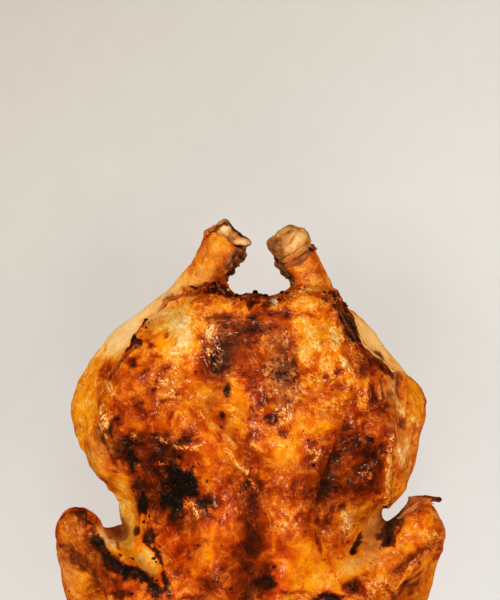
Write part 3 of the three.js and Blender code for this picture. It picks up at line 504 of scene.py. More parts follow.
# Ridges (up) and creases (down): route, half width and height in millimetres
RELIEF_LINES = {
    "front ridge of the left thigh": (((-30, 28), (-21, 20), (-15, 12), (-8, 3), (0, -8)), 2.4, 3),
    "crease behind that ridge": (((-24, 28), (-14, 20), (-5, 10), (3, 0)), 3.2, -3.4),
    "front edge of the right thigh": (((48, 20), (44, 9), (41, 0), (37, -10), (35, -24), (35, -44)), 5, -3),
    "outline below the left knee": (((-84, 6), (-81, -2), (-74, -12), (-68, -17)), 5, -2.9),
    "outline of the left knee": (((-83, 30), (-85, 20), (-84, 10)), 4, 1.2),
    "outline of the right knee": (((78, 42), (82, 34), (86, 26)), 4, 1.2),
    "outline of the fold over the right drumstick": (((39, 85), (45, 78), (50, 71)), 3, -1.5),
    "outline of the left flank": (((-63, -16), (-62, -22), (-62, -30)), 3.5, 2.4),
    "outline below the right knee": (((85, 20), (84, 6), (79, -6), (70, -16)), 5, -1.3),
    "outline of the right flank": (((76, -11), (71, -17), (65, -24)), 3.5, 2),
    "outline of the right drumstick": (((53, 67), (62, 58), (73, 47)), 4.5, -0.5),
    "outline of the left wing": (((-92, -22), (-95, -30), (-94, -42)), 5, -1.4),
    "outline of the right wing": (((92, -24), (96, -34), (95, -44)), 4, -0.8),
    "gap beside the left wing": (((-78, -22), (-72, -25), (-64, -31), (-61, -38)), 4.5, -6.5),
    "inner edge of the right wing": (((64, -30), (72, -22), (80, -17)), 4, 1),
    "outline of the tail": (((-6, 82), (0, 80), (10, 80), (22, 85)), 4, -2.4),
    "outline inside the left hock": (((-3, 92), (-7, 87), (-9, 84)), 3, -2),
    "outer edge of the left hock": (((-29, 92), (-24, 100), (-20, 108)), 3, -1.1),
    "groove of the back": (((0, 10), (-1, -10), (1, -29), (1, -46), (0, -86)), 8, -3.6),
    "crease behind the tail": (((-24, 69), (-10, 70), (0, 70), (12, 71), (24, 70), (36, 68)), 2.2, -1.6),
    "second crease behind the tail": (((-16, 64), (-4, 66), (8, 65), (16, 66)), 1.4, -1.2),
    "valley between the hip patches": (((3, 66), (2, 54), (4, 44), (2, 34)), 2.6, -1.8),
    "fold at the right hip": (((22, 66), (23, 56), (20, 46), (22, 36)), 2.2, -0.8),
    "fold at the left hip": (((-22, 68), (-22, 58), (-20, 48), (-21, 38)), 2.2, -0.7),
    "fold across the right thigh": (((50, 30), (44, 22), (34, 27), (24, 24)), 1.6, -1.4),
    "fold below the right knee": (((60, 22), (54, 12), (46, 8), (40, -2)), 2, -1.8),
    "second fold below the right knee": (((66, 10), (60, 0), (52, -6), (46, -14)), 2, -1.8),
    "fold of the scorched skin": (((-68, -2), (-56, 0), (-46, -6), (-36, -2)), 1.8, -1.8),
    "second fold of the scorched skin": (((-62, 10), (-50, 4), (-40, 8)), 1.6, -1.4),
    "crease on the right rump": (((24, 25), (31, 28), (38, 28), (46, 24)), 1.4, -1.1),
    "fold of the left wing": (((-90, -40), (-82, -51), (-75, -59), (-70, -68)), 2.6, -2.6),
    "fold of the right wing": (((93, -38), (84, -45), (75, -51), (66, -58)), 2.4, -2.4),
    "ridge of the left wing": (
        ((-78, -27), (-72, -40), (-66, -49), (-60, -54), (-51, -57), (-42, -65)), 3, 1.8,
    ),
    "left armpit": (((-61, -36), (-54, -46), (-44, -55)), 2.6, -2.2),
    "slit of the right armpit": (((55, -35), (52, -40), (49, -45)), 1.2, -2.4),
    "shade under the right wing": (((75, -26), (69, -34), (64, -41)), 2.2, -2.2),
    "tendon of the right knee": (((80, 38), (81, 18), (78, -2), (71, -20)), 1.5, 1),
    "second tendon of the right knee": (((74, 34), (74, 18), (72, 2), (69, -14)), 1.2, 0.9),
    "tendon of the left knee": (((-80, 42), (-82, 24), (-80, 6), (-74, -8)), 1.6, 0.8),
    "second tendon of the left knee": (((-75, 38), (-77, 20), (-75, 2), (-68, -12)), 1.2, 0.8),
    "first wrinkle on the right rump": (((24, 66), (28, 58), (31, 50), (30, 42)), 1, -0.8),
    "second wrinkle on the right rump": (((34, 64), (36, 56), (41, 49), (44, 42)), 1, -0.9),
    "third wrinkle on the right rump": (((39, 62), (44, 56), (48, 50), (50, 44)), 1, -0.8),
    "first wrinkle on the right thigh": (((14, 38), (24, 36), (34, 34), (44, 36)), 1, -0.7),
    "second wrinkle on the right thigh": (((12, 12), (22, 10), (32, 12), (40, 18)), 1, -0.7),
    "wrinkle across the left thigh": (((-68, 26), (-56, 22), (-44, 24), (-34, 22)), 1.1, -0.8),
    "wrinkle above the scorched skin": (((-64, 12), (-54, 10), (-44, 12), (-34, 8)), 1.2, -0.9),
    "first wrinkle on the left rump": (((-38, 74), (-36, 66), (-36, 58), (-38, 50)), 1, -0.7),
    "second wrinkle on the left rump": (((-28, 72), (-28, 62), (-26, 54), (-28, 46)), 1, -0.7),
    "ring at the right hock": (((15, 95), (24, 100), (33, 103)), 1.6, 1.4),
    "notch above that ring": (((14, 99), (23, 103.5), (32, 105)), 1.2, -1),
    "edge of the left hock": (((-22, 108), (-15, 111), (-9, 114)), 1.6, 1.2),
    "torn inner side of the left hock": (((0, 102), (-6, 94), (-12, 87)), 2.2, -1.6),
}
# Edges of browned skin that stand over the paler skin on their left-hand side: route and height
EDGES = {
    "over the right drumstick": (
        ((41, 84), (44.5, 75), (47.5, 67), (51.5, 59), (57, 52), (66, 43), (72, 36)), 2.2,
    ),
    "along the right knee": (((69, 38), (70, 24), (69, 10), (68, -4), (66, -22)), 1.6),
    "over the left drumstick": (
        ((-67, 39), (-62, 45), (-58, 51), (-53, 56), (-50, 62),
         (-47, 68), (-43, 71), (-39, 76), (-25, 83)), 1.9,
    ),
    "along the left knee": (((-64, -6), (-68, 6), (-70, 14), (-72, 26), (-67, 39)), 1.3),
    "front of the right thigh": (((46, 22), (42, 9), (40, 0), (35, -10), (33, -22)), 1.8),
    "right wing over its fold": (((70, -51), (77, -46), (84, -42), (91, -38)), 0.9),
    "left wing over its fold": (((-90, -41), (-84, -46), (-78, -52), (-73, -60)), 1.6),
}

# Bone ends: how stained each place is, from 0 cream to 1 dark brown, and their mounds
KNUCKLE_STAINS = (
    ((19, 105), (14, 14), 0.58), ((12.5, 108), (3.6, 1.4), 0.44, 45), ((19, 111), (5, 1.4), 0.42, 5),
    ((25.5, 109), (3, 1.4), 0.74, -45), ((17, 108), (2, 2), 0.4),
    ((18.5, 109.5), (2.6, 0.7), 0.76, 15, 0.9), ((13, 105.8), (2.2, 1.6), 0.84),
    ((11, 103.6), (2.4, 2.6), 0.64), ((21.5, 104), (2.8, 5.4), 0.26, -35), ((25, 107.5), (2.2, 2.8), 0.3),
    ((18.5, 99.5), (2, 2.6), 0.42), ((20.8, 106), (0.6, 4.4), 0.62, -35, 0.8),
    ((13.5, 101), (2.8, 3.8), 0.72, 0, 0.9), ((16, 97), (3, 2.4), 0.7, 0, 0.9),
    ((-9, 108), (13, 10), 0.56, -30), ((-11.5, 111), (2, 2.4), 0.06), ((-7.5, 108), (2.4, 1.6), 0.46, -40),
    ((-3, 105), (3.4, 1.4), 0.2, 8), ((-4, 102), (4, 1.6), 0.9), ((-5.5, 110.5), (6, 1), 0.62, -42, 0.8),
)
KNUCKLE_MOUNDS = {
    "face of the right bone": ((22, 104.5), (2.6, 5), -35, 1),
    "groove in that face": ((20.8, 106), (0.8, 4.6), -35, -1.4),
    "hollow in the right bone": ((17, 108), (2.2, 2), 0, -1.4),
    "left lobe of the right bone": ((11, 103.6), (2.4, 2.8), 0, 1.2),
    "pit beside that lobe": ((13.4, 106), (1.6, 1.4), 0, -1.6),
    "notch of the right bone": ((13.4, 99.4), (2.6, 2), 0, -0.4),
    "top of the right bone": ((20, 113.5), (6, 2.4), 0, -1.4),
    "upper left of the right bone": ((11, 109.5), (4, 2.6), 45, -2.6),
    "right edge of the right bone": ((27.5, 107.5), (3, 5), 30, 1.2),
    "upper right of the left bone": ((-2.8, 111), (4.8, 3), -40, -3.8),
    "patch on the left bone": ((-11.5, 111), (2.2, 2.6), 0, 0.6),
    "condyle of the left bone": ((-1, 104.8), (4, 2), 8, 3.2),
    "hollow in the left bone": ((-7.5, 108), (2.4, 1.6), -40, -1.8),
    "hollow below the condyle": ((-5, 102), (3.4, 1.6), 10, -1.6),
}

# Scraps of loose skin: root on the top view, heading and rise in degrees, length and width in
# millimetres, curl in degrees, roast and paleness
SCRAPS = {
    "tail": (
        ((-27, 82), 110, 40, 3.4, 2.2, 40, 0.9, 0), ((-22, 83), 80, 50, 3, 2.4, 60, 0.95, 0),
        ((-16.5, 83.5), 95, 30, 3, 2.4, 30, 0.9, 0), ((-12, 82), 60, 40, 3.4, 2.6, 50, 0.95, 0),
        ((-10, 82), 50, 50, 5, 2.2, 170, 0.22, 0.7), ((-6, 78.5), 80, 40, 2.6, 2, 30, 0.9, 0),
        ((-2, 79), 100, 50, 2.6, 2.6, 40, 0.92, 0), ((3, 80), 85, 45, 3, 3, 30, 0.97, 0),
        ((8, 78.5), 70, 45, 2.6, 2.4, 40, 0.85, 0), ((11, 77), 80, 40, 3, 2, 60, 0.1, 1),
        ((16, 80), 100, 40, 2.6, 2, 30, 0.9, 0), ((24, 81), 80, 30, 2, 2, 20, 0.7, 0),
        ((41, 78), 95, 55, 4, 1.4, 10, 0.95, 0), ((36, 80), 80, 50, 2, 2, 40, 0.9, 0),
    ),
    "left hock": (
        ((-20, 108), 120, 20, 2.4, 3, -20, 0.5, 0.3), ((-16, 110.5), 100, 35, 2.4, 3, -10, 0.56, 0.4),
        ((-11.5, 112.5), 80, 50, 3.4, 2.6, -10, 0.7, 0.5),
    ),
    "right hock": (
        ((28, 104), 40, 40, 4, 1.4, 20, 0.3, 0.8), ((30.5, 101), 20, 20, 2.4, 2, -20, 0.7, 0.6),
    ),
    "knees and wings": (
        ((-80, 14.5), 150, 10, 3, 1.6, 30, 0.25, 0.6), ((64, -24.5), -20, 20, 2.4, 1.8, 20, 0.97, 0),
        ((-62, -46), 60, 40, 2.6, 2, 40, 0.8, 0), ((-56, -47.5), 70, 40, 2.4, 1.6, 50, 0.9, 0),
        ((73.5, -28), 44, 10, 11, 3.6, 10, 0.5, 0.9), ((78, -19), -4, 6, 10, 3.6, 0, 0.54, 0.6),
        ((85, -18.8), 0, 4, 7.4, 3.6, 0, 0.74, 0),
    ),
}
# Lumps of crisp skin: place, half sizes in millimetres, roast and paleness
LUMPS = {
    "rim of the tail": (
        ((-26, 81), (5, 3, 4), 0.5, 0), ((-19.5, 82), (4.2, 3, 4), 0.64, 0),
        ((-13, 81.5), (4, 3, 4), 0.78, 0), ((-7, 76.5), (3.2, 2.6, 3), 0.66, 0),
        ((0, 76.5), (4.2, 3.4, 4), 0.74, 0), ((6, 76), (3.8, 3.2, 4), 0.66, 0),
        ((12, 75.6), (2.6, 3.4, 4), 0.05, 1), ((17, 78), (4, 2.6, 3.6), 0.62, 0),
        ((24.5, 80), (5, 2.6, 3.6), 0.46, 0), ((32, 79.5), (4.6, 2.6, 3.6), 0.52, 0),
        ((37.5, 77.5), (3, 2.4, 3.2), 0.66, 0),
    ),
    "inner side of the left hock": (
        ((-1.2, 102.4), (2.4, 2.6, 3), 0.66, 0.8), ((-3.4, 97.6), (2.6, 2.8, 3), 0.74, 0.9),
        ((-5.8, 94.2), (2.4, 2.6, 3), 0.66, 0.9), ((-8, 91), (2, 2.4, 3), 0.76, 0.8),
        ((-10.6, 87.4), (1.8, 2.4, 3), 0.68, 0.8),
    ),
    "inner side of the right hock": (
        ((15, 93.5), (1.8, 2.4, 2.6), 0.7, 0.8), ((18, 89), (1.8, 2.6, 2.6), 0.74, 0.8),
        ((20.5, 85.5), (1.6, 2.2, 2.6), 0.7, 0.9),
    ),
}
# How deep a lump's middle lies under the skin, as a share of its half height
LUMP_DEPTH = 0.3
# Strands and lips of skin: route on the top view, radius, lift above the skin, then roast, paleness
# and gloss
STRANDS = {
    "ring at the right hock": (
        (((15, 94), (19.5, 96.6), (23.6, 99.6), (27, 102.4), (29, 105)), 1.45, 0.4, 0.5, 0.8, 0.8),
        (((17, 92.4), (21, 94.4), (26, 97.6), (30, 100.2)), 1.7, 0.3, 0.6, 0.7, 0.7),
        (((16, 96), (20, 98.2), (24.4, 101.4), (27.6, 104)), 0.55, 0.9, 0.42, 0.9, 0.8),
        (((12.6, 98.6), (14, 95.6), (17, 92.6)), 0.9, 0.0, 0.78, 0.9, 0.4),
    ),
    "rim at the left hock": (
        (((-20.5, 107), (-17, 109.5), (-14, 112), (-10.6, 114.4)), 0.7, 0.2, 0.78, 0.5, 0.5),
        (((-10.6, 114.4), (-8, 111), (-4, 108), (0, 105.4)), 0.6, 0.1, 0.84, 0.6, 0.5),
        (((1, 104), (-1, 100), (-4, 96), (-8, 92)), 0.9, 0.1, 0.72, 1.0, 0.4),
        (((-2, 99), (-5, 95), (-9, 90), (-12, 86)), 0.8, 0.1, 0.66, 1.0, 0.5),
        (((-5, 101), (-7, 97), (-11, 92)), 0.7, 0.1, 0.78, 0.9, 0.5),
    ),
    "lip over the right drumstick": (
        (((51.5, 60.5), (54, 55.5), (58, 51.4), (62, 48.4), (68, 44.3)), 0.55, 0.6, 0.3, 0.9, 0.8),
        (((41.5, 75), (44.5, 69), (47.5, 63), (51.5, 57)), 1.1, 0.4, 0.76, 0.2, 0.8),
        (((50, 58), (55, 53), (61, 48), (67, 42)), 0.8, 0.2, 0.74, 0.1, 0.8),
    ),
    "lip over the left drumstick": (
        (((-25, 82.5), (-32, 79), (-39, 76), (-42.5, 71)), 0.7, 0.1, 0.56, 0.1, 0.6),
        (((-54, 56), (-58, 51), (-63, 45), (-67, 39)), 0.8, 0.2, 0.66, 0.2, 0.8),
    ),
    "folds along the right knee": (
        (((57.5, 37.5), (58.5, 32), (58, 26)), 0.6, -0.1, 0.74, 0.2, 0.7),
        (((62.5, 40), (64, 34), (65, 28)), 0.6, -0.1, 0.68, 0.3, 0.7),
        (((70, 18), (71.5, 10), (70, 3)), 0.6, -0.1, 0.46, 0.5, 0.6),
        (((68, 4), (69, -4), (67, -12)), 0.6, -0.1, 0.5, 0.4, 0.6),
    ),
    "folds along the left knee": (
        (((-66, 19), (-66.5, 14), (-65.5, 9)), 0.6, -0.1, 0.86, 0.1, 0.7),
    ),
    "tail": (
        (((-18, 80), (-14, 82), (-10, 80.5)), 0.9, 0.4, 0.8, 0, 0.6),
        (((-3, 76), (1, 78.5), (6, 78.5), (9, 76)), 1.1, 0.5, 0.8, 0, 0.6),
        (((16, 78), (24, 79.5), (32, 79)), 0.8, 0.1, 0.56, 0, 0.7),
    ),
}
# Crumbs of char: route, how many lie along it, and how far they stray from it in millimetres
CHAR_TRAILS = {
    "tail on the left": (((-30, 82), (-21, 82), (-10, 80), (-4, 78)), 22, 1.6),
    "tail stump": (((-4, 78), (2, 79), (9, 77)), 12, 1.2),
    "tail on the right": (((16, 80), (29, 81), (41, 80)), 16, 0.8),
    "fold over the right drumstick": (((40, 79), (44.5, 72), (47.5, 65), (51, 58)), 34, 2.2),
    "beads by the left drumstick": (((-48, 67), (-51, 61), (-54, 56)), 14, 1.2),
    "ridge of the left wing": (((-73, -38), (-66, -48), (-58, -54), (-44, -61)), 60, 2.2),
    "char on the left thigh": (((-38, -2), (-31, -12), (-38, -24)), 110, 6),
    "right end of that char": (((-30, -18), (-18, -22)), 30, 2.6),
    "flank": (((-49, -20), (-47, -36), (-43, -50)), 34, 1.6),
    "shoulder": (((32, -66), (44, -66)), 20, 1.6),
}

# Wide lights that shade the bird: name, place in metres and share of the power
WIDE_LIGHTS = (
    ("left", (-3.1, 0.4, 2.7), 0.94),
    ("right", (3.1, 0.0, 2.6), 0.74),
    ("tail", (0.3, 3.2, 2.5), 0.28),
    ("neck", (0.2, -2.9, 2.9), 0.3),
)
WIDE_LIGHT_SIZE = 2.0
# Small lights that show only in the fat: name and place
SMALL_LIGHTS = (
    ("shine_left", (-0.62, 0.5, 2.1)), ("shine_right", (0.66, 0.34, 2.1)),
    ("shine_far_left", (-1.5, 0.9, 1.6)), ("shine_far_right", (1.5, 0.6, 1.6)),
    ("shine_neck", (0.1, -0.9, 2.0)), ("shine_tail", (0.0, 1.5, 1.8)),
)
SMALL_LIGHT_SIZE = 0.2
# Where all lights point, and how far the floor reaches to each side, in metres
AIM = (0, 0, 0.05)
FLOOR_REACH = 3

# The camera's angle of view gives the bird the size that it has in the photo
SENSOR_WIDTH = 36
LENS = 153.75

# How the edges of marks wander: size in millimetres, share and seed of each noise
WANDER = ((9, 1, 1), (3.5, 0.5, 2), (1.7, 0.35, 9))
# How far lines and mounds wander, in millimetres
SLIGHT_RAGGEDNESS = 0.5
# Blender's vector noise differs from run to run unless its seed is set
NOISE_SEED = 1
# How far apart the noises of neighbouring seeds lie
NOISE_STRIDE = (7.31, 3.17, 5.23)
VECTOR_STRIDE = (2.71, 9.13, 4.37)

# Dark char has sharper edges than the other marks
CHARRED = 0.85
CHAR_SOFTNESS = 0.4


class Mark(NamedTuple):
    """A soft patch on the top view."""

    place: tuple
    sizes: tuple
    level: float
    turn: float = 0
    opacity: float = 1


# Fields: one number, or one shift, for each vertex


def soft_step(low, high, values):
    """Runs smoothly from 0 at low to 1 at high; low may be the larger one."""
    t = np.clip((values - low) / (high - low), 0, 1)
    return t * t * (3 - 2 * t)


def noise_at(places, size, seed, depth=1):
    """Perlin noise from about -1 to 1 with blobs of the given size, in octaves halving in size."""
    shift = Vector([seed * stride for stride in NOISE_STRIDE])
    total = np.zeros(len(places))
    for octave in range(depth):
        scaled = places / (size * 0.5**octave)
        total += np.array([noise.noise(Vector(p) + shift) for p in scaled]) * 0.5**octave
    return total


def ridges_at(places, size, seed, depth):
    """Sharp ridges from 0 to 1 between rounded hollows of the given size."""
    steepness = 2.2
    total = np.zeros(len(places))
    for octave in range(depth):
        slope = steepness * np.abs(noise_at(places, size * 0.5**octave, seed + octave))
        total += (1 - np.minimum(slope, 1)) * 0.5**octave
    return total / (2 - 0.5 ** (depth - 1))


def noise_vectors(places, size, seed):
    """A smooth random shift for each place, about one unit long."""
    shift = Vector([seed * stride for stride in VECTOR_STRIDE])
    return np.array([noise.noise_vector(Vector(p) + shift) for p in places / size])


def rows_of(regions):
    """The rows of all regions, one after the other."""
    return [row for rows in regions.values() for row in rows]


def on_top_view(places):
    """Where places in the frame show on the top view, in millimetres from the bird's middle."""
    fall = (CAMERA_POINT.z - TOP_VIEW_LEVEL) / (CAMERA_POINT.z - places[:, 2])
    middle = np.array(CAMERA_POINT.xy)
    flat = (places[:, :2] - middle) * fall[:, None] + middle
    return (flat - np.array(MIDDLE.xy)) / MM


def reach_into(flat, place, sizes, turn):
    """Distance from a mark's middle, where 1 is its edge."""
    angle = math.radians(turn)
    offset = flat - np.array(place)
    along = offset[:, 0] * math.cos(angle) + offset[:, 1] * math.sin(angle)
    across = offset[:, 1] * math.cos(angle) - offset[:, 0] * math.sin(angle)
    return np.hypot(along / sizes[0], across / sizes[1])


def bell(flat, place, sizes, turn):
    """A mound that falls from 1 in its middle to 0 outside."""
    return np.exp(-(reach_into(flat, place, sizes, turn) ** 2))


def shifted(places):
    """Places after the sideways shifts."""
    flat = on_top_view(places)
    moved = places.copy()
    for place, sizes, turn, shift in SHIFTS.values():
        moved[:, :2] += bell(flat, place, sizes, turn)[:, None] * np.array(shift) * MM
    return moved


def along_route(flat, route):
    """Distance to a route, the side of it (positive on the left) and how far along it from 0 to 1."""
    best = np.full(len(flat), np.inf)
    side = np.zeros(len(flat))
    progress = np.zeros(len(flat))
    points = [np.array(p, float) for p in route]
    lengths = [np.linalg.norm(b - a) for a, b in zip(points, points[1:])]
    walked = 0.0
    for a, b, length in zip(points, points[1:], lengths):
        heading = (b - a) / length
        offset = flat - a
        along = np.clip(offset @ heading, 0, length)
        gap = offset - along[:, None] * heading
        distance = np.hypot(gap[:, 0], gap[:, 1])
        nearer = distance < best
        cross = heading[0] * offset[:, 1] - heading[1] * offset[:, 0]
        best = np.where(nearer, distance, best)
        side = np.where(nearer, np.sign(cross), side)
        progress = np.where(nearer, (walked + along) / sum(lengths), progress)
        walked += length
    return best, side, progress


def painted(flat, start, marks, fray, softness=0.8):
    """Paints each mark's level over what is there, in order; fray roughens the marks' edges."""
    level = np.full(len(flat), float(start))
    for mark in (Mark(*row) for row in marks):
        reach = reach_into(flat, mark.place, mark.sizes, mark.turn) + fray
        spread = softness if mark.level < CHARRED else softness * CHAR_SOFTNESS
        level += (mark.level - level) * mark.opacity * soft_step(1 + spread, 1 - spread, reach)
    return level


def fading_ends(progress, share):
    """1 along a route, falling to 0 over the given share of it at either end."""
    return soft_step(0, share, progress) * soft_step(1, 1 - share, progress)


def line_share(flat, route, width, fray):
    """How far a line covers each place, from 0 to 1; it gets thinner at its ends."""
    distance, _side, progress = along_route(flat, route)
    thinned = width * (0.5 + 0.5 * fading_ends(progress, 0.12))
    return soft_step(1.4, 0.6, distance / thinned + fray * 2)


# Meshes


def placed(name, data):
    """An object in the scene that shows the given data."""
    item = bpy.data.objects.new(name, data)
    bpy.context.scene.collection.objects.link(item)
    return item


def modelled(name, shell):
    """An object in the scene with what was modelled as its mesh."""
    mesh = bpy.data.meshes.new(name)
    shell.to_mesh(mesh)
    shell.free()
    return placed(name, mesh)


def fine_copy(node, name, cell, rounds, finer_above=False):
    """A closed, even copy of a CAD node's surface without facets; it can be finer where it faces up."""
    piece = placed(name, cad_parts[node].data.copy())
    weld_gap = 0.01 * MM
    shell = bmesh.new()
    shell.from_mesh(piece.data)
    bmesh.ops.remove_doubles(shell, verts=shell.verts, dist=weld_gap)
    shell.to_mesh(piece.data)
    shell.free()
    remesh = piece.modifiers.new("even cells", "REMESH")
    remesh.mode = "VOXEL"
    remesh.voxel_size = cell
    evaluated = piece.evaluated_get(bpy.context.evaluated_depsgraph_get())
    even = bpy.data.meshes.new_from_object(evaluated)
    piece.modifiers.clear()
    rough, piece.data = piece.data, even
    bpy.data.meshes.remove(rough)
    even.name = name
    even.materials.clear()
    rough_places = places_of(even)
    move_to(even, relaxed(even, rough_places, rounds))
    # Smoothing shrinks the form, so it is swollen again by what it lost on the whole
    lost = np.sum((rough_places - places_of(even)) * normals_of(even), axis=1)
    lost = relaxed(even, lost[:, None], rounds * 4)
    move_to(even, places_of(even) + normals_of(even) * lost)
    if finer_above:
        least_slope, last_rounds = 0.05, 3
        shell = bmesh.new()
        shell.from_mesh(even)
        above = [e for e in shell.edges if all(f.normal.z > least_slope for f in e.link_faces)]
        bmesh.ops.subdivide_edges(shell, edges=above, cuts=1, use_grid_fill=True)
        shell.to_mesh(even)
        shell.free()
        move_to(even, relaxed(even, places_of(even), last_rounds))
    return piece


def relaxed(mesh, values, rounds):
    """Each vertex's values, drawn half way to the mean of its neighbours' in each round."""
    edges = np.empty(len(mesh.edges) * 2, np.int32)
    mesh.edges.foreach_get("vertices", edges)
    one, other = edges.reshape(-1, 2).T
    count = len(mesh.vertices)
    degree = np.maximum(np.bincount(edges, minlength=count), 1)[:, None]
    for _round in range(rounds):
        near = [
            np.bincount(one, column[other], count) + np.bincount(other, column[one], count)
            for column in values.T
        ]
        values = (values + np.stack(near, axis=1) / degree) / 2
    return values


def read(mesh, key):
    """A row of three numbers for each vertex."""
    flat = np.empty(len(mesh.vertices) * 3)
    mesh.vertices.foreach_get(key, flat)
    return flat.reshape(-1, 3)


def places_of(mesh):
    return read(mesh, "co")


def normals_of(mesh):
    return read(mesh, "normal")


def move_to(mesh, places):
    mesh.vertices.foreach_set("co", places.ravel())
    mesh.update()


def store(mesh, name, values):
    layer = mesh.attributes.new(name, "FLOAT", "POINT")
    layer.data.foreach_set("value", np.asarray(values, np.float32))


def new_shell(*keys):
    """An empty bmesh, and a layer of numbers on its vertices for each key."""
    shell = bmesh.new()
    return shell, {key: shell.verts.layers.float.new(key) for key in keys}


def set_levels(verts, layers, levels):
    for vert in verts:
        for key, value in levels.items():
            vert[layers[key]] = value


def faces_of(verts):
    """The faces on the given vertices, each once and in a fixed order."""
    return list(dict.fromkeys(face for vert in verts for face in vert.link_faces))


def resized(vector, sizes):
    """A vector with each coordinate multiplied by its own size."""
    return Vector([a * b for a, b in zip(vector, sizes)])


def seen_at(surfaces, place):
    """Where the camera first meets the surfaces at a place of the top view, and how they face there."""
    target = Vector((place[0] * MM, place[1] * MM, 0)) + MIDDLE
    target.z = TOP_VIEW_LEVEL
    sight = (target - CAMERA_POINT).normalized()
    hits = [surface.ray_cast(CAMERA_POINT, sight) for surface in surfaces]
    hits = [hit for hit in hits if hit[0] is not None] or [surfaces[0].find_nearest(target)]
    return min(hits, key=lambda hit: hit[3])[:2]


def add_scrap(shell, layers, root, angles, size, thickness, levels):
    """A tapered strip of skin that bends away from its root, with a wavy edge."""
    heading, rise, curl = (math.radians(angle) for angle in angles)
    length, width = (value * MM for value in size)
    ahead = Vector((math.cos(heading), math.sin(heading), 0))
    aside = Vector((-ahead.y, ahead.x, 0))
    buried, waviness, raggedness, taper, hollow = 0.15, 0.16, 0.4, 0.45, 0.12
    before = set(shell.verts)
    grid = bmesh.ops.create_grid(shell, x_segments=7, y_segments=3, size=0.5)
    seed = Vector((root.x, root.y, 0)) * 400
    for vert in grid["verts"]:
        along = vert.co.x + 0.5
        across = vert.co.y
        wave = noise.noise_vector(seed + Vector((along * 3, across * 3, 0))) * width * waviness
        reach = length * (along * (1 + buried) - buried)
        angle = rise + curl * along / 2
        reach *= 1 + raggedness * noise.noise(seed + Vector((0, across * 4, 7)))
        breadth = width * (1 - taper * max(along, 0) ** 2)
        cup = (across * 2) ** 2 * width * hollow
        vert.co = root + ahead * reach * math.cos(angle) + aside * across * breadth
        vert.co += Vector((0, 0, reach * math.sin(angle) + cup)) + wave
    bmesh.ops.solidify(shell, geom=faces_of(grid["verts"]), thickness=thickness)
    added = [vert for vert in shell.verts if vert not in before]
    bmesh.ops.recalc_face_normals(shell, faces=faces_of(added))
    set_levels(added, layers, levels)


def add_strand(shell, layers, surfaces, route, radius, lift, levels):
    """A wavy, tapered strand that lies on the bird along a route of the top view."""
    step, sway_reach, waviness, taper, thinnest = 1.3, 0.7, 0.35, 5, 0.02
    weld_gap = 0.03 * MM
    steps = [Vector(point) for point in route]
    lengths = [(b - a).length for a, b in zip(steps, steps[1:])]
    count = max(int(sum(lengths) / step), 4)
    centres = []
    for number in range(count + 1):
        walk = sum(lengths) * number / count
        leg = 0
        while leg < len(lengths) - 1 and walk > lengths[leg]:
            walk -= lengths[leg]
            leg += 1
        flat = steps[leg].lerp(steps[leg + 1], walk / lengths[leg])
        sway = noise.noise_vector(Vector((flat.x, flat.y, radius * 9)) / 3.1)
        place, normal = seen_at(surfaces, flat + sway.xy * sway_reach)
        centres.append(place + normal * (lift + 0.5 * sway.z * radius) * MM)
    before = set(shell.verts)
    grid = bmesh.ops.create_grid(shell, x_segments=count, y_segments=7, size=0.5)
    for vert in grid["verts"]:
        number = round((vert.co.x + 0.5) * count)
        angle = math.tau * (vert.co.y + 0.5)
        ahead = centres[min(number + 1, count)] - centres[max(number - 1, 0)]
        facing = ahead.to_track_quat("Z", "Y")
        end = min(number, count - number) / count
        girth = min(thinnest + end * taper, 1) * (1 + waviness * noise.noise(centres[number] * 420))
        offset = Vector((math.cos(angle), math.sin(angle), 0)) * radius * girth * MM
        vert.co = centres[number] + facing @ offset
    added = [vert for vert in shell.verts if vert not in before]
    bmesh.ops.remove_doubles(shell, verts=added, dist=weld_gap)
    added = [vert for vert in shell.verts if vert not in before]
    bmesh.ops.recalc_face_normals(shell, faces=faces_of(added))
    set_levels(added, layers, levels)


def add_lump(shell, layers, place, sizes, levels):
    """A crisp, wrinkled lump."""
    fold_depth, knob_height, grain_height = 0.8, 0.35, 0.2
    lump = bmesh.ops.create_icosphere(shell, subdivisions=4, radius=1)
    for vert in lump["verts"]:
        folds = 1 - abs(noise.noise(vert.co * 1.6 + place * 300)) * fold_depth
        knobs = knob_height * noise.noise(vert.co * 4.5 + place * 500)
        grain = grain_height * noise.noise(vert.co * 10 + place * 700)
        vert.co = place + resized(vert.co, sizes) * (folds + knobs + grain) * MM
    set_levels(lump["verts"], layers, levels)


def add_crumb(shell, layers, place, size, levels):
    """A small burnt lump."""
    width, height, roughness = (0.8, 1.4), (0.5, 0.9), 0.6
    lump = bmesh.ops.create_icosphere(shell, subdivisions=1, radius=size / 2)
    stretch = Vector([random.uniform(*limits) for limits in (width, width, height)])
    for vert in lump["verts"]:
        rough = 1 + roughness * noise.noise(vert.co / size * 2.3 + place * 900)
        vert.co = place + resized(vert.co, stretch) * rough
    set_levels(lump["verts"], layers, levels)


def dress(piece, material, slot, *nodes):
    """Gives a finished piece its material, its body and the CAD nodes that it stands for."""
    piece.data.materials.append(material)
    piece.data.shade_smooth()
    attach(piece, BODY)
    if nodes:
        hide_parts(*nodes)


# Materials


class Wire:
    """A socket's number. Python's operators on it add Math nodes."""

    def __init__(self, finish, socket):
        self.finish = finish
        self.socket = socket

    def math(self, operation, *others, clamp=False):
        values = dict(enumerate((self, *others)))
        node = self.finish.add("ShaderNodeMath", {"operation": operation, "use_clamp": clamp}, values)
        return Wire(self.finish, node.outputs[0])

    def __add__(self, other):
        return self.math("ADD", other)

    __radd__ = __add__

    def __sub__(self, other):
        return self.math("SUBTRACT", other)

    def __rsub__(self, other):
        return (self * -1) + other

    def __mul__(self, other):
        return self.math("MULTIPLY", other)

    def clamped(self):
        return self.math("ADD", 0, clamp=True)


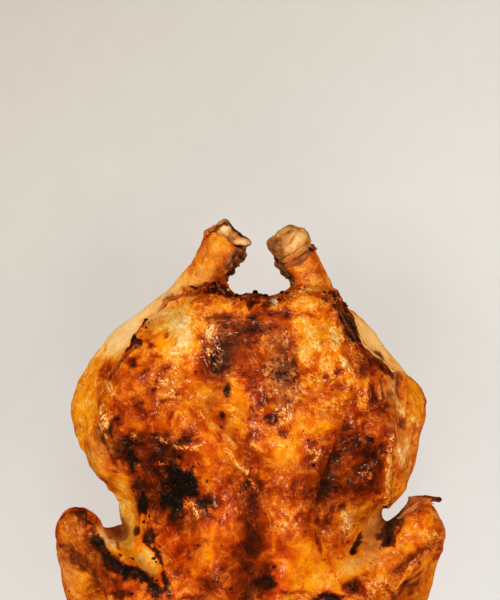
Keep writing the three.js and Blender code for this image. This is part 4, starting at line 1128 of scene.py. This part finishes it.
class Finish:
    """A material under construction. Its patterns are sized in cells for each metre."""

    def __init__(self, name):
        self.material = bpy.data.materials.new(name)
        self.material.use_nodes = True
        self.tree = self.material.node_tree
        self.tree.nodes.clear()

    def add(self, kind, settings=None, inputs=None):
        node = self.tree.nodes.new(kind)
        for key, value in (settings or {}).items():
            if key == "stops":
                self.set_stops(node.color_ramp, value)
            else:
                setattr(node, key, value)
        for key, value in (inputs or {}).items():
            socket = node.inputs[key]
            if isinstance(value, Wire):
                self.tree.links.new(value.socket, socket)
            elif isinstance(value, bpy.types.NodeSocket):
                self.tree.links.new(value, socket)
            else:
                socket.default_value = value
        return node

    @staticmethod
    def set_stops(ramp, stops):
        while len(ramp.elements) < len(stops):
            ramp.elements.new(0.5)
        for element, (position, tone) in zip(ramp.elements, stops):
            element.position = position
            element.color = (*tone, 1)

    def attribute(self, name):
        return Wire(self, self.add("ShaderNodeAttribute", {"attribute_name": name}).outputs["Fac"])

    def places(self):
        return self.add("ShaderNodeTexCoord").outputs["Object"]

    def swayed(self, where, scale, reach):
        """Places that wander, so that a stretched pattern bends."""
        drift = self.add("ShaderNodeTexNoise", None, {"Vector": where, "Scale": scale, "Detail": 1})
        centred = self.vectors("SUBTRACT", drift.outputs["Color"], (0.5, 0.5, 0.5))
        return self.vectors("ADD", where, self.vectors("SCALE", centred, reach))

    def vectors(self, operation, one, other):
        second = "Scale" if operation == "SCALE" else 1
        return self.add("ShaderNodeVectorMath", {"operation": operation}, {0: one, second: other}).outputs[0]

    def stretched(self, where, stretch, turn, origin=(0, 0, 0)):
        """Places for a pattern that is stretched, then turned about the upright axis."""
        values = {
            "Vector": where, "Rotation": (0, 0, math.radians(turn)), "Scale": stretch, "Location": origin,
        }
        return self.add("ShaderNodeMapping", {"vector_type": "TEXTURE"}, values).outputs[0]

    def noise(self, where, scale, detail=2, roughness=0.5, distortion=0.0):
        values = {
            "Vector": where, "Scale": scale, "Detail": detail, "Roughness": roughness,
            "Distortion": distortion,
        }
        return Wire(self, self.add("ShaderNodeTexNoise", None, values).outputs["Fac"])

    def patchy(self, value):
        """A noise with clearer patches, from -0.5 to 0.5."""
        return self.between(0.32, 0.68, value) - 0.5

    def folds(self, where, scale):
        """Rounded crests between wide hollows, from 0 to 1."""
        waves = self.noise(where, scale, detail=3, roughness=0.55, distortion=0.4)
        return self.between(0.2, 0, (waves - 0.5).math("ABSOLUTE"))

    def cells(self, where, scale):
        """Distance from scattered points."""
        node = self.add("ShaderNodeTexVoronoi", None, {"Vector": where, "Scale": scale})
        return Wire(self, node.outputs["Distance"])

    def ramp(self, factor, stops):
        return self.add("ShaderNodeValToRGB", {"stops": stops}, {"Fac": factor}).outputs["Color"]

    def between(self, low, high, value):
        """Runs smoothly from 0 at low to 1 at high."""
        values = {"Value": value, "From Min": low, "From Max": high}
        settings = {"interpolation_type": "SMOOTHSTEP"}
        return Wire(self, self.add("ShaderNodeMapRange", settings, values).outputs["Result"])

    def mixed(self, factor, one, other, blend="MIX"):
        # The Mix node's colour sockets share their names with its number and vector sockets
        factor_in, one_in, other_in, colour_out = 0, 6, 7, 2
        settings = {"data_type": "RGBA", "blend_type": blend}
        node = self.add("ShaderNodeMix", settings, {factor_in: factor, one_in: one, other_in: other})
        return node.outputs[colour_out]

    def bump(self, height, distance):
        return self.add("ShaderNodeBump", None, {"Height": height, "Distance": distance}).outputs["Normal"]

    def shade(self, inputs):
        shader = self.add("ShaderNodeBsdfPrincipled", None, inputs)
        self.add("ShaderNodeOutputMaterial", None, {"Surface": shader.outputs[0]})
        return self.material


def colour(red, green, blue):
    """A screen colour from 0 to 255, as linear light by the sRGB formula."""
    parts = [value / 255 for value in (red, green, blue)]
    return tuple(p / 12.92 if p <= 0.04045 else ((p + 0.055) / 1.055) ** 2.4 for p in parts)


ROAST_STOPS = (
    (0.0, colour(252, 210, 136)),
    (0.14, colour(252, 180, 60)),
    (0.3, colour(249, 151, 2)),
    (0.42, colour(236, 119, 0)),
    (0.54, colour(200, 77, 0)),
    (0.66, colour(150, 45, 0)),
    (0.78, colour(98, 28, 0)),
    (0.89, colour(56, 18, 3)),
    (1.0, colour(24, 17, 12)),
)
PALE_STOPS = (
    (0.0, colour(255, 214, 150)),
    (0.2, colour(253, 188, 100)),
    (0.45, colour(212, 130, 60)),
    (0.65, colour(144, 80, 38)),
    (0.85, colour(74, 44, 28)),
    (1.0, colour(28, 21, 17)),
)
LEMON_STOPS = (
    (0.0, colour(244, 196, 76)),
    (0.3, colour(240, 146, 0)),
    (0.5, colour(206, 106, 0)),
    (0.75, colour(108, 48, 2)),
    (1.0, colour(28, 18, 10)),
)
BONE_STOPS = (
    (0.0, colour(236, 200, 142)),
    (0.25, colour(226, 172, 106)),
    (0.45, colour(208, 140, 62)),
    (0.65, colour(152, 88, 30)),
    (0.82, colour(88, 48, 22)),
    (1.0, colour(40, 24, 15)),
)
RED_TINT = (1, 0.68, 0.45, 1)


def skin_finish(settings):
    """Grilled skin: its colour follows how far it is roasted, with painted shade in the valleys of its
    wrinkles and painted highlights in cream on their crests, and fat makes it shine.
    """
    finish = Finish("grilled skin")
    here = finish.places()
    roast, pale, lemon, red, crinkle, gloss, greasy, lengthwise = (
        finish.attribute(name)
        for name in ("roast", "pale", "lemon", "red", "crinkle", "gloss", "greasy", "lengthwise")
    )

    # Patterns: large, middle and small spots, then folds that run across, along and at a slant
    bent = finish.swayed(here, scale=70, reach=9 * MM)
    swirl = finish.patchy(finish.noise(bent, scale=95, detail=3, roughness=0.55, distortion=0.8))
    mottle = finish.patchy(finish.noise(bent, scale=270, detail=4, roughness=0.6, distortion=0.6))
    grain = finish.noise(here, scale=1100, detail=3, roughness=0.6) - 0.5
    across = finish.folds(finish.stretched(bent, stretch=(2.2, 1, 1.4), turn=-32), scale=560)
    along = finish.folds(finish.stretched(bent, stretch=(1, 2.8, 1.6), turn=6), scale=600)
    slanted = finish.folds(finish.stretched(bent, stretch=(1.8, 1, 1.4), turn=48), scale=480)
    fine = finish.folds(finish.stretched(bent, stretch=(1.5, 1, 1), turn=-30), scale=1150)
    wrinkles = (across + (along - across) * lengthwise).math("MAXIMUM", slanted * 0.85)
    char = finish.between(0.84, 0.97, roast + mottle * 0.12)
    valley_shade = finish.between(0.4, 0.05, wrinkles) * crinkle
    crests = finish.between(0.55, 0.95, wrinkles)
    blobs = finish.between(0.45, 0.58, finish.noise(here, scale=170, roughness=0.6))
    crest_highlights = finish.between(0.74, 0.96, wrinkles) * (blobs + greasy).clamped()
    dots = finish.cells(finish.swayed(here, scale=700, reach=3 * MM), scale=190)
    specks = finish.between(0.2, 0.08, dots) * finish.between(-0.1, 0.1, swirl)

    # Colour: how much each pattern darkens the skin, then the tints of the places. The valleys of the
    # wrinkles are darkened as painted shade, and their crests are lightened to cream as painted highlights.
    middle_roast, contrast = 0.45, 1.12
    uneven_and_painted_light = swirl * 0.17 + mottle * (crinkle * 0.08 + 0.05) + grain * (crinkle * 0.05 + 0.04)
    uneven_and_painted_light = uneven_and_painted_light + valley_shade * 0.18 - crest_highlights * (crinkle * 0.2 + gloss * 0.1 + greasy * 0.3)
    above_middle = roast + uneven_and_painted_light * (1 - pale * 0.45) - middle_roast
    tone_level = (above_middle * contrast + middle_roast + specks * 0.3).clamped()
    yellowed = (lemon - swirl * 0.5).clamped()
    reddened = (red + swirl * 0.4).clamped()
    tinted = finish.mixed(yellowed, finish.ramp(tone_level, ROAST_STOPS), finish.ramp(tone_level, LEMON_STOPS))
    tinted = finish.mixed(reddened, tinted, RED_TINT, "MULTIPLY")
    pale_and_highlights = (pale + crest_highlights * (crinkle * 0.45 + gloss * 0.3 + greasy * 0.6)).clamped()
    tinted = finish.mixed(pale_and_highlights, tinted, finish.ramp(tone_level, PALE_STOPS))

    crust = finish.noise(here, scale=650, detail=5, roughness=0.75) * char * 0.8
    relief = wrinkles * (crinkle * 0.8 + 0.1) + fine * 0.18 + mottle * 0.06 + grain * 0.07 + crust
    return finish.shade({
        "Base Color": tinted,
        "Roughness": 0.42 + char * 0.3 - gloss * 0.1,
        "Normal": finish.bump(relief, settings.relief),
        "IOR": 1.4,
        "Specular IOR Level": 0.07,
        "Subsurface Weight": 0.06,
        "Subsurface Radius": (1.0, 0.4, 0.15),
        "Subsurface Scale": 2 * MM,
        "Coat Weight": (gloss + greasy) * (1 - char * 0.7) * (crests * 0.55 + 0.05),
        "Coat Roughness": 0.17,
    })


def bone_finish():
    """Cooked bone end with cartilage: cream where bare, brown where meat and fat stick to it."""
    finish = Finish("cooked bone")
    here = finish.places()
    blotches = finish.noise(here, scale=240, detail=4, roughness=0.6, distortion=0.8)
    fine = finish.noise(here, scale=900, detail=4, roughness=0.65)
    stain = finish.attribute("stain") + (blotches - 0.5) * 0.5 + (fine - 0.5) * 0.3
    return finish.shade({
        "Base Color": finish.ramp(stain.clamped(), BONE_STOPS),
        "Roughness": 0.4 + fine * 0.15,
        "Normal": finish.bump(blotches * 0.6 + fine * 0.4, distance=0.9 * MM),
        "Specular IOR Level": 0.3,
        "Subsurface Weight": 0.12,
        "Subsurface Radius": (1.0, 0.5, 0.25),
        "Subsurface Scale": 2 * MM,
        "Coat Weight": 0.3,
        "Coat Roughness": 0.15,
    })


def floor_finish(behind, front, glow):
    """A plain floor that glows a little, and is painted lighter towards the front on the right, as painted
    light.
    """
    finish = Finish("pale floor")
    here = finish.places()
    across = finish.stretched(here, stretch=(0.375, 1, 1), turn=-59, origin=(-0.12, 0.22, 0))
    slope = Wire(finish, finish.add("ShaderNodeTexGradient", None, {"Vector": across}).outputs["Fac"])
    speck = finish.noise(here, scale=60)
    shade = finish.ramp(slope * 0.9 + speck * 0.1, ((0.0, behind), (1.0, front)))
    return finish.shade({
        "Base Color": shade,
        "Roughness": 0.8,
        "Emission Color": shade,
        "Emission Strength": glow,
    })


# Settings


class SkinSettings(bpy.types.PropertyGroup):
    cell: FloatProperty(
        name="Cell", description="Size of the skin's mesh cells",
        default=1.94 * MM, min=0.5 * MM, unit="LENGTH", subtype="DISTANCE",
    )
    smoothing: IntProperty(
        name="Smoothing", description="Rounds of smoothing that take the facets away", default=12, min=0,
    )
    relief: FloatProperty(
        name="Relief", description="Height of the wrinkles and blisters in the skin's finish",
        default=1.4 * MM, min=0, unit="LENGTH", subtype="DISTANCE",
    )
    raggedness: FloatProperty(
        name="Raggedness", description="How far the edges of roasted patches wander, in millimetres",
        default=1.5, min=0,
    )


class KnuckleSettings(bpy.types.PropertyGroup):
    cell: FloatProperty(
        name="Cell", description="Size of the knuckles' mesh cells",
        default=0.5 * MM, min=0.2 * MM, unit="LENGTH", subtype="DISTANCE",
    )


class ScrapSettings(bpy.types.PropertyGroup):
    thickness: FloatProperty(
        name="Thickness", description="Thickness of the scraps of skin",
        default=0.5 * MM, min=0.2 * MM, unit="LENGTH", subtype="DISTANCE",
    )
    crumb: FloatProperty(
        name="Crumb", description="Size of the largest crumbs of char",
        default=1.5 * MM, min=0.4 * MM, unit="LENGTH", subtype="DISTANCE",
    )
    seed: IntProperty(name="Seed", description="Chooses where the crumbs lie", default=7, min=0)


class StudioSettings(bpy.types.PropertyGroup):
    # The floor's two colours make it lighter towards the front on the right, as painted light
    floor: FloatVectorProperty(
        name="Floor", description="Colour of the floor behind the bird on the left",
        subtype="COLOR", default=colour(114, 110, 103), min=0, max=1,
    )
    floor_front: FloatVectorProperty(
        name="Floor in front", description="Colour of the floor in front of the bird on the right",
        subtype="COLOR", default=colour(139, 138, 136), min=0, max=1,
    )
    glow: FloatProperty(
        name="Glow", description="How much the floor glows, which thins the shadows on it",
        default=2.2, min=0,
    )
    power: FloatProperty(
        name="Wide lights", description="Power of the wide light on the left; the others follow it",
        default=158.5, min=0, unit="POWER",
    )
    shine: FloatProperty(
        name="Shine", description="Power of each small light that shows in the fat",
        default=11.0, min=0, unit="POWER",
    )
    around: FloatProperty(
        name="Surroundings", description="Brightness of the room", default=0.14, min=0,
    )


# Operators


class CHICKEN_OT_skin(bpy.types.Operator):
    """Models the bird's roasted skin over its flesh"""

    bl_idname = "chicken.skin"
    bl_label = "Roasted Skin"

    def execute(self, context):
        settings = context.scene.chicken_skin
        noise.seed_set(NOISE_SEED)
        piece = fine_copy("chicken", "roasted_skin", settings.cell, settings.smoothing, finer_above=True)
        mesh = piece.data
        start = shifted(places_of(mesh))
        flat = on_top_view(start)
        upward = soft_step(-0.5, -0.1, normals_of(mesh)[:, 2])
        wander = sum(share * noise_vectors(start, size * MM, seed) for size, share, seed in WANDER)[:, :2]
        ragged = flat + wander * settings.raggedness
        near = flat + wander * SLIGHT_RAGGEDNESS
        fray = 0.3 * noise_at(start, size=10 * MM, seed=3)
        fray += 0.35 * noise_at(start, size=3.6 * MM, seed=4, depth=2)
        crumple = ridges_at(start, size=7 * MM, seed=8, depth=3)
        crinkle = painted(ragged, PLAIN_CRINKLE, CRINKLED_MARKS, fray)
        greasy = self.greased(near, fray * 0.4)

        # Painted shade: hollows and creases are roasted further, so that they show darker, and the crumple's
        # ridges less, so that they show lighter. Painted highlight: fat is roasted less, so that it shows
        # lighter.
        hollows, crease_shade, fat = 0.12, 0.035, 0.05
        roast = self.roasted(start, ragged, fray, upward)
        roast += hollows * (0.45 - crumple) * crinkle - fat * greasy
        forms = self.shape(mesh, start, near, roast, crumple * (0.3 + 0.8 * crinkle), upward)
        # The stored roast also holds painted shade, darker in the creases of the forms
        store(mesh, "roast", roast + crease_shade * np.clip(-forms, 0, 3))
        store(mesh, "crinkle", crinkle)
        store(mesh, "greasy", greasy)
        store(mesh, "gloss", painted(ragged, PLAIN_GLOSS, GLOSS_MARKS, fray))
        lengthwise = painted(ragged, PLAIN_LENGTHWISE, LENGTHWISE_MARKS, fray * 0.5, softness=0.5)
        store(mesh, "lengthwise", lengthwise)
        for key, marks in (("red", RED_MARKS), ("pale", PALE_MARKS), ("lemon", LEMON_MARKS)):
            store(mesh, key, painted(ragged, 0, marks, fray) * upward)
        dress(piece, skin_finish(settings), SKIN_SLOT, "chicken")
        return {"FINISHED"}

    @staticmethod
    def roasted(start, ragged, fray, upward):
        """The roast: marks and lines on the upper side, and soft patches on the lower side."""
        top = painted(ragged, PLAIN_ROAST, rows_of(ROAST_MARKS), fray)
        for route, width, target, opacity in ROAST_LINES.values():
            top += (target - top) * opacity * line_share(ragged, route, width, fray)
        browned = soft_step(0.3, 0.6, noise_at(start, size=18 * MM, seed=6, depth=2))
        under = 0.45 + 0.22 * noise_at(start, size=26 * MM, seed=5, depth=2) + 0.3 * browned
        return under + (top - under) * upward

    @staticmethod
    def greased(flat, fray):
        """Where fat stands on crests and lips, with painted highlights, from 0 to 1."""
        level = np.zeros(len(flat))
        for route, width, opacity in GREASE_AND_HIGHLIGHT_LINES.values():
            level += (1 - level) * opacity * line_share(flat, route, width, fray)
        return level

    @staticmethod
    def shape(mesh, start, flat, roast, crumple, upward):
        """Moves the skin, and returns how high its mounds, ridges and fold edges stand."""
        lip_height, lip_margin, edge_softness, edge_fall = 0.6, 0.4, 0.8, 7
        forms = np.zeros(len(start))
        for place, sizes, turn, height in MOUNDS.values():
            forms += height * bell(flat, place, sizes, turn)
        for route, width, height in RELIEF_LINES.values():
            distance, _side, progress = along_route(flat, route)
            strength = 0.2 + 0.8 * fading_ends(progress, 0.15)
            forms += height * np.exp(-((distance / width) ** 2)) * strength
        for route, width, _opacity in GREASE_AND_HIGHLIGHT_LINES.values():
            distance = along_route(flat, route)[0]
            forms += lip_height * np.exp(-((distance / (width + lip_margin)) ** 2))
        for route, height in EDGES.values():
            distance, side, progress = along_route(flat, route)
            inside = -distance * side
            raised = height * fading_ends(progress, 0.1) * soft_step(-edge_softness, edge_softness, inside)
            forms += raised * np.exp(-np.maximum(inside, 0) / edge_fall)
        forms *= upward

        lift = forms.copy()
        torn = np.maximum(ridges_at(start, size=5.5 * MM, seed=31, depth=3) * 1.5 - 0.45, -0.2)
        for place, sizes, turn, height in RAGGED_MARKS.values():
            lift += height * torn * soft_step(1.3, 0.6, reach_into(flat, place, sizes, turn))
        crust = ridges_at(start, size=3.4 * MM, seed=13, depth=2) * soft_step(0.8, 0.98, roast) * 1.1
        lift += 0.9 * (crumple - 0.4) + crust + 0.5 * noise_at(start, size=14 * MM, seed=12)
        off_the_table = soft_step(3 * MM, 9 * MM, start[:, 2])
        move_to(mesh, start + normals_of(mesh) * (lift * off_the_table)[:, None] * MM)
        return forms


class CHICKEN_OT_knuckles(bpy.types.Operator):
    """Models the bare knuckles of the shin bones"""

    bl_idname = "chicken.knuckles"
    bl_label = "Shin Knuckles"

    def execute(self, context):
        finish = bone_finish()
        rounds, knobbiness, plain_stain, dark_level_on_sides = 5, 0.9, 0.5, 0.84
        for side in ("left", "right"):
            node = f"shin_bone_{side}"
            piece = fine_copy(node, f"knuckle_{side}", context.scene.chicken_knuckles.cell, rounds)
            mesh = piece.data
            places = places_of(mesh)
            flat = on_top_view(places)
            slope = normals_of(mesh)[:, 2]
            upward, facing = soft_step(-0.9, -0.4, slope), soft_step(-0.25, 0.3, slope)
            fray = 0.4 * noise_at(places, size=2.4 * MM, seed=23, depth=2)
            lift = noise_at(places, size=6 * MM, seed=21, depth=3) * knobbiness
            lift += ridges_at(places, size=4 * MM, seed=22, depth=3) * knobbiness - 0.5
            for place, sizes, turn, height in KNUCKLE_MOUNDS.values():
                lift += height * upward * bell(flat, place, sizes, turn)
            stain = painted(flat, plain_stain, KNUCKLE_STAINS, fray)
            # Where the bone turns to the side or down, its marks fade into a dark brown level
            store(mesh, "stain", dark_level_on_sides + (stain - dark_level_on_sides) * facing)
            move_to(mesh, places + normals_of(mesh) * lift[:, None] * MM)
            dress(piece, finish, BONE_SLOT, node)
        return {"FINISHED"}


class CHICKEN_OT_scraps(bpy.types.Operator):
    """Adds scraps of loose skin at torn edges, and crumbs of char"""

    bl_idname = "chicken.scraps"
    bl_label = "Scraps and Crumbs"

    def execute(self, context):
        settings = context.scene.chicken_scraps
        pieces = [bpy.data.objects[name] for name in ("roasted_skin", "knuckle_left", "knuckle_right")]
        finish = pieces[0].data.materials[0]
        graph = context.evaluated_depsgraph_get()
        surfaces = [BVHTree.FromObject(piece, graph) for piece in pieces]
        random.seed(settings.seed)
        noise.seed_set(NOISE_SEED)

        shell, layers = new_shell("roast", "pale", "gloss", "crinkle")
        for root, heading, rise, length, width, curl, roast, pale in rows_of(SCRAPS):
            place, _normal = seen_at(surfaces, root)
            angles, size = (heading, rise, curl), (length, width)
            levels = {"roast": roast, "pale": pale, "gloss": 0.4}
            add_scrap(shell, layers, place, angles, size, settings.thickness, levels)
        for place, sizes, roast, pale in rows_of(LUMPS):
            surface, normal = seen_at(surfaces, place)
            middle = surface - normal * sizes[2] * LUMP_DEPTH * MM
            levels = {"roast": roast, "pale": pale, "gloss": 0.6, "crinkle": 0.8}
            add_lump(shell, layers, middle, sizes, levels)
        dress(modelled("skin_scraps", shell), finish, SKIN_SLOT)

        shell, layers = new_shell("roast", "pale", "gloss")
        for route, radius, lift, roast, pale, gloss in rows_of(STRANDS):
            levels = {"roast": roast, "pale": pale, "gloss": gloss}
            add_strand(shell, layers, surfaces, route, radius, lift, levels)
        dress(modelled("skin_strands", shell), finish, SKIN_SLOT)

        shell, layers = new_shell("roast", "gloss")
        for route, count, stray in CHAR_TRAILS.values():
            for _crumb in range(count):
                surface, normal = seen_at(surfaces, self.stroll(route, stray))
                size = random.uniform(0.35, 1.0) ** 1.5 * settings.crumb
                levels = {"roast": random.uniform(0.8, 1), "gloss": 0.5}
                add_crumb(shell, layers, surface + normal * size * 0.1, size, levels)
        dress(modelled("char_crumbs", shell), finish, SKIN_SLOT)
        return {"FINISHED"}

    @staticmethod
    def stroll(route, stray):
        """A random place near a route, most often closer than it may stray."""
        spread = stray * 0.6
        steps = [Vector(p) for p in route]
        walk = random.uniform(0, len(steps) - 1)
        leg = min(int(walk), len(steps) - 2)
        place = steps[leg].lerp(steps[leg + 1], walk - leg)
        return place + Vector((random.gauss(0, spread), random.gauss(0, spread)))


class CHICKEN_OT_studio(bpy.types.Operator):
    """Sets up the plain floor, the soft lights and the camera above the bird"""

    bl_idname = "chicken.studio"
    bl_label = "Studio"

    def execute(self, context):
        settings = context.scene.chicken_studio
        scene = context.scene
        ground = bmesh.new()
        bmesh.ops.create_grid(ground, x_segments=1, y_segments=1, size=FLOOR_REACH)
        floor = modelled("floor", ground)
        floor.data.materials.append(floor_finish(settings.floor, settings.floor_front, settings.glow))
        floor.visible_glossy = False

        world = bpy.data.worlds.new("pale room")
        scene.world = world
        world.use_nodes = True
        sky = world.node_tree.nodes["Background"]
        sky.inputs["Color"].default_value = (*colour(240, 238, 235), 1)
        sky.inputs["Strength"].default_value = settings.around
        world.cycles_visibility.glossy = False

        # Wide lights shade the bird, and small ones only put the shine on it
        warm, warmer = colour(255, 251, 246), colour(255, 232, 196)
        for name, place, share in WIDE_LIGHTS:
            self.light(name, settings.power * share, WIDE_LIGHT_SIZE, place, warm, "glossy")
        for name, place in SMALL_LIGHTS:
            self.light(name, settings.shine, SMALL_LIGHT_SIZE, place, warmer, "diffuse")

        camera = bpy.data.cameras.new("above")
        camera.sensor_width = SENSOR_WIDTH
        camera.lens = LENS
        camera.clip_start = 0.05
        scene.camera = placed("above", camera)
        scene.camera.location = CAMERA_POINT
        scene.view_settings.view_transform = "Standard"
        return {"FINISHED"}

    @staticmethod
    def light(name, power, size, place, tone, hidden_from):
        """A square light that points at the bird."""
        lamp = bpy.data.lights.new(name, "AREA")
        lamp.energy = power
        lamp.size = size
        lamp.color = tone
        holder = placed(name, lamp)
        holder.location = place
        setattr(holder, f"visible_{hidden_from}", False)
        sight = Vector(AIM) - Vector(place)
        holder.rotation_euler = sight.to_track_quat("-Z", "Y").to_euler()


class CHICKEN_PT_kit(bpy.types.Panel):
    """Lists the pieces of the bird"""

    bl_idname = "CHICKEN_PT_kit"
    bl_label = "Grilled Chicken"
    bl_space_type = "VIEW_3D"
    bl_region_type = "UI"
    bl_category = "Grilled Chicken"

    def draw(self, context):
        for operator, group in STEPS:
            box = self.layout.box()
            box.operator(operator.bl_idname)
            settings = getattr(context.scene, group)
            for key in settings.__annotations__:
                box.prop(settings, key)


GROUPS = {
    "chicken_skin": SkinSettings,
    "chicken_knuckles": KnuckleSettings,
    "chicken_scraps": ScrapSettings,
    "chicken_studio": StudioSettings,
}
STEPS = (
    (CHICKEN_OT_skin, "chicken_skin"),
    (CHICKEN_OT_knuckles, "chicken_knuckles"),
    (CHICKEN_OT_scraps, "chicken_scraps"),
    (CHICKEN_OT_studio, "chicken_studio"),
)
CLASSES = (*GROUPS.values(), *(operator for operator, _group in STEPS), CHICKEN_PT_kit)


def register():
    for item in CLASSES:
        bpy.utils.register_class(item)
    for name, group in GROUPS.items():
        setattr(bpy.types.Scene, name, PointerProperty(type=group))


def unregister():
    for name in GROUPS:
        delattr(bpy.types.Scene, name)
    for item in reversed(CLASSES):
        bpy.utils.unregister_class(item)


def main():
    register()
    bpy.ops.chicken.studio()
    bpy.ops.chicken.skin()
    bpy.ops.chicken.knuckles()
    bpy.ops.chicken.scraps()


if __name__ == "__main__":
    main()
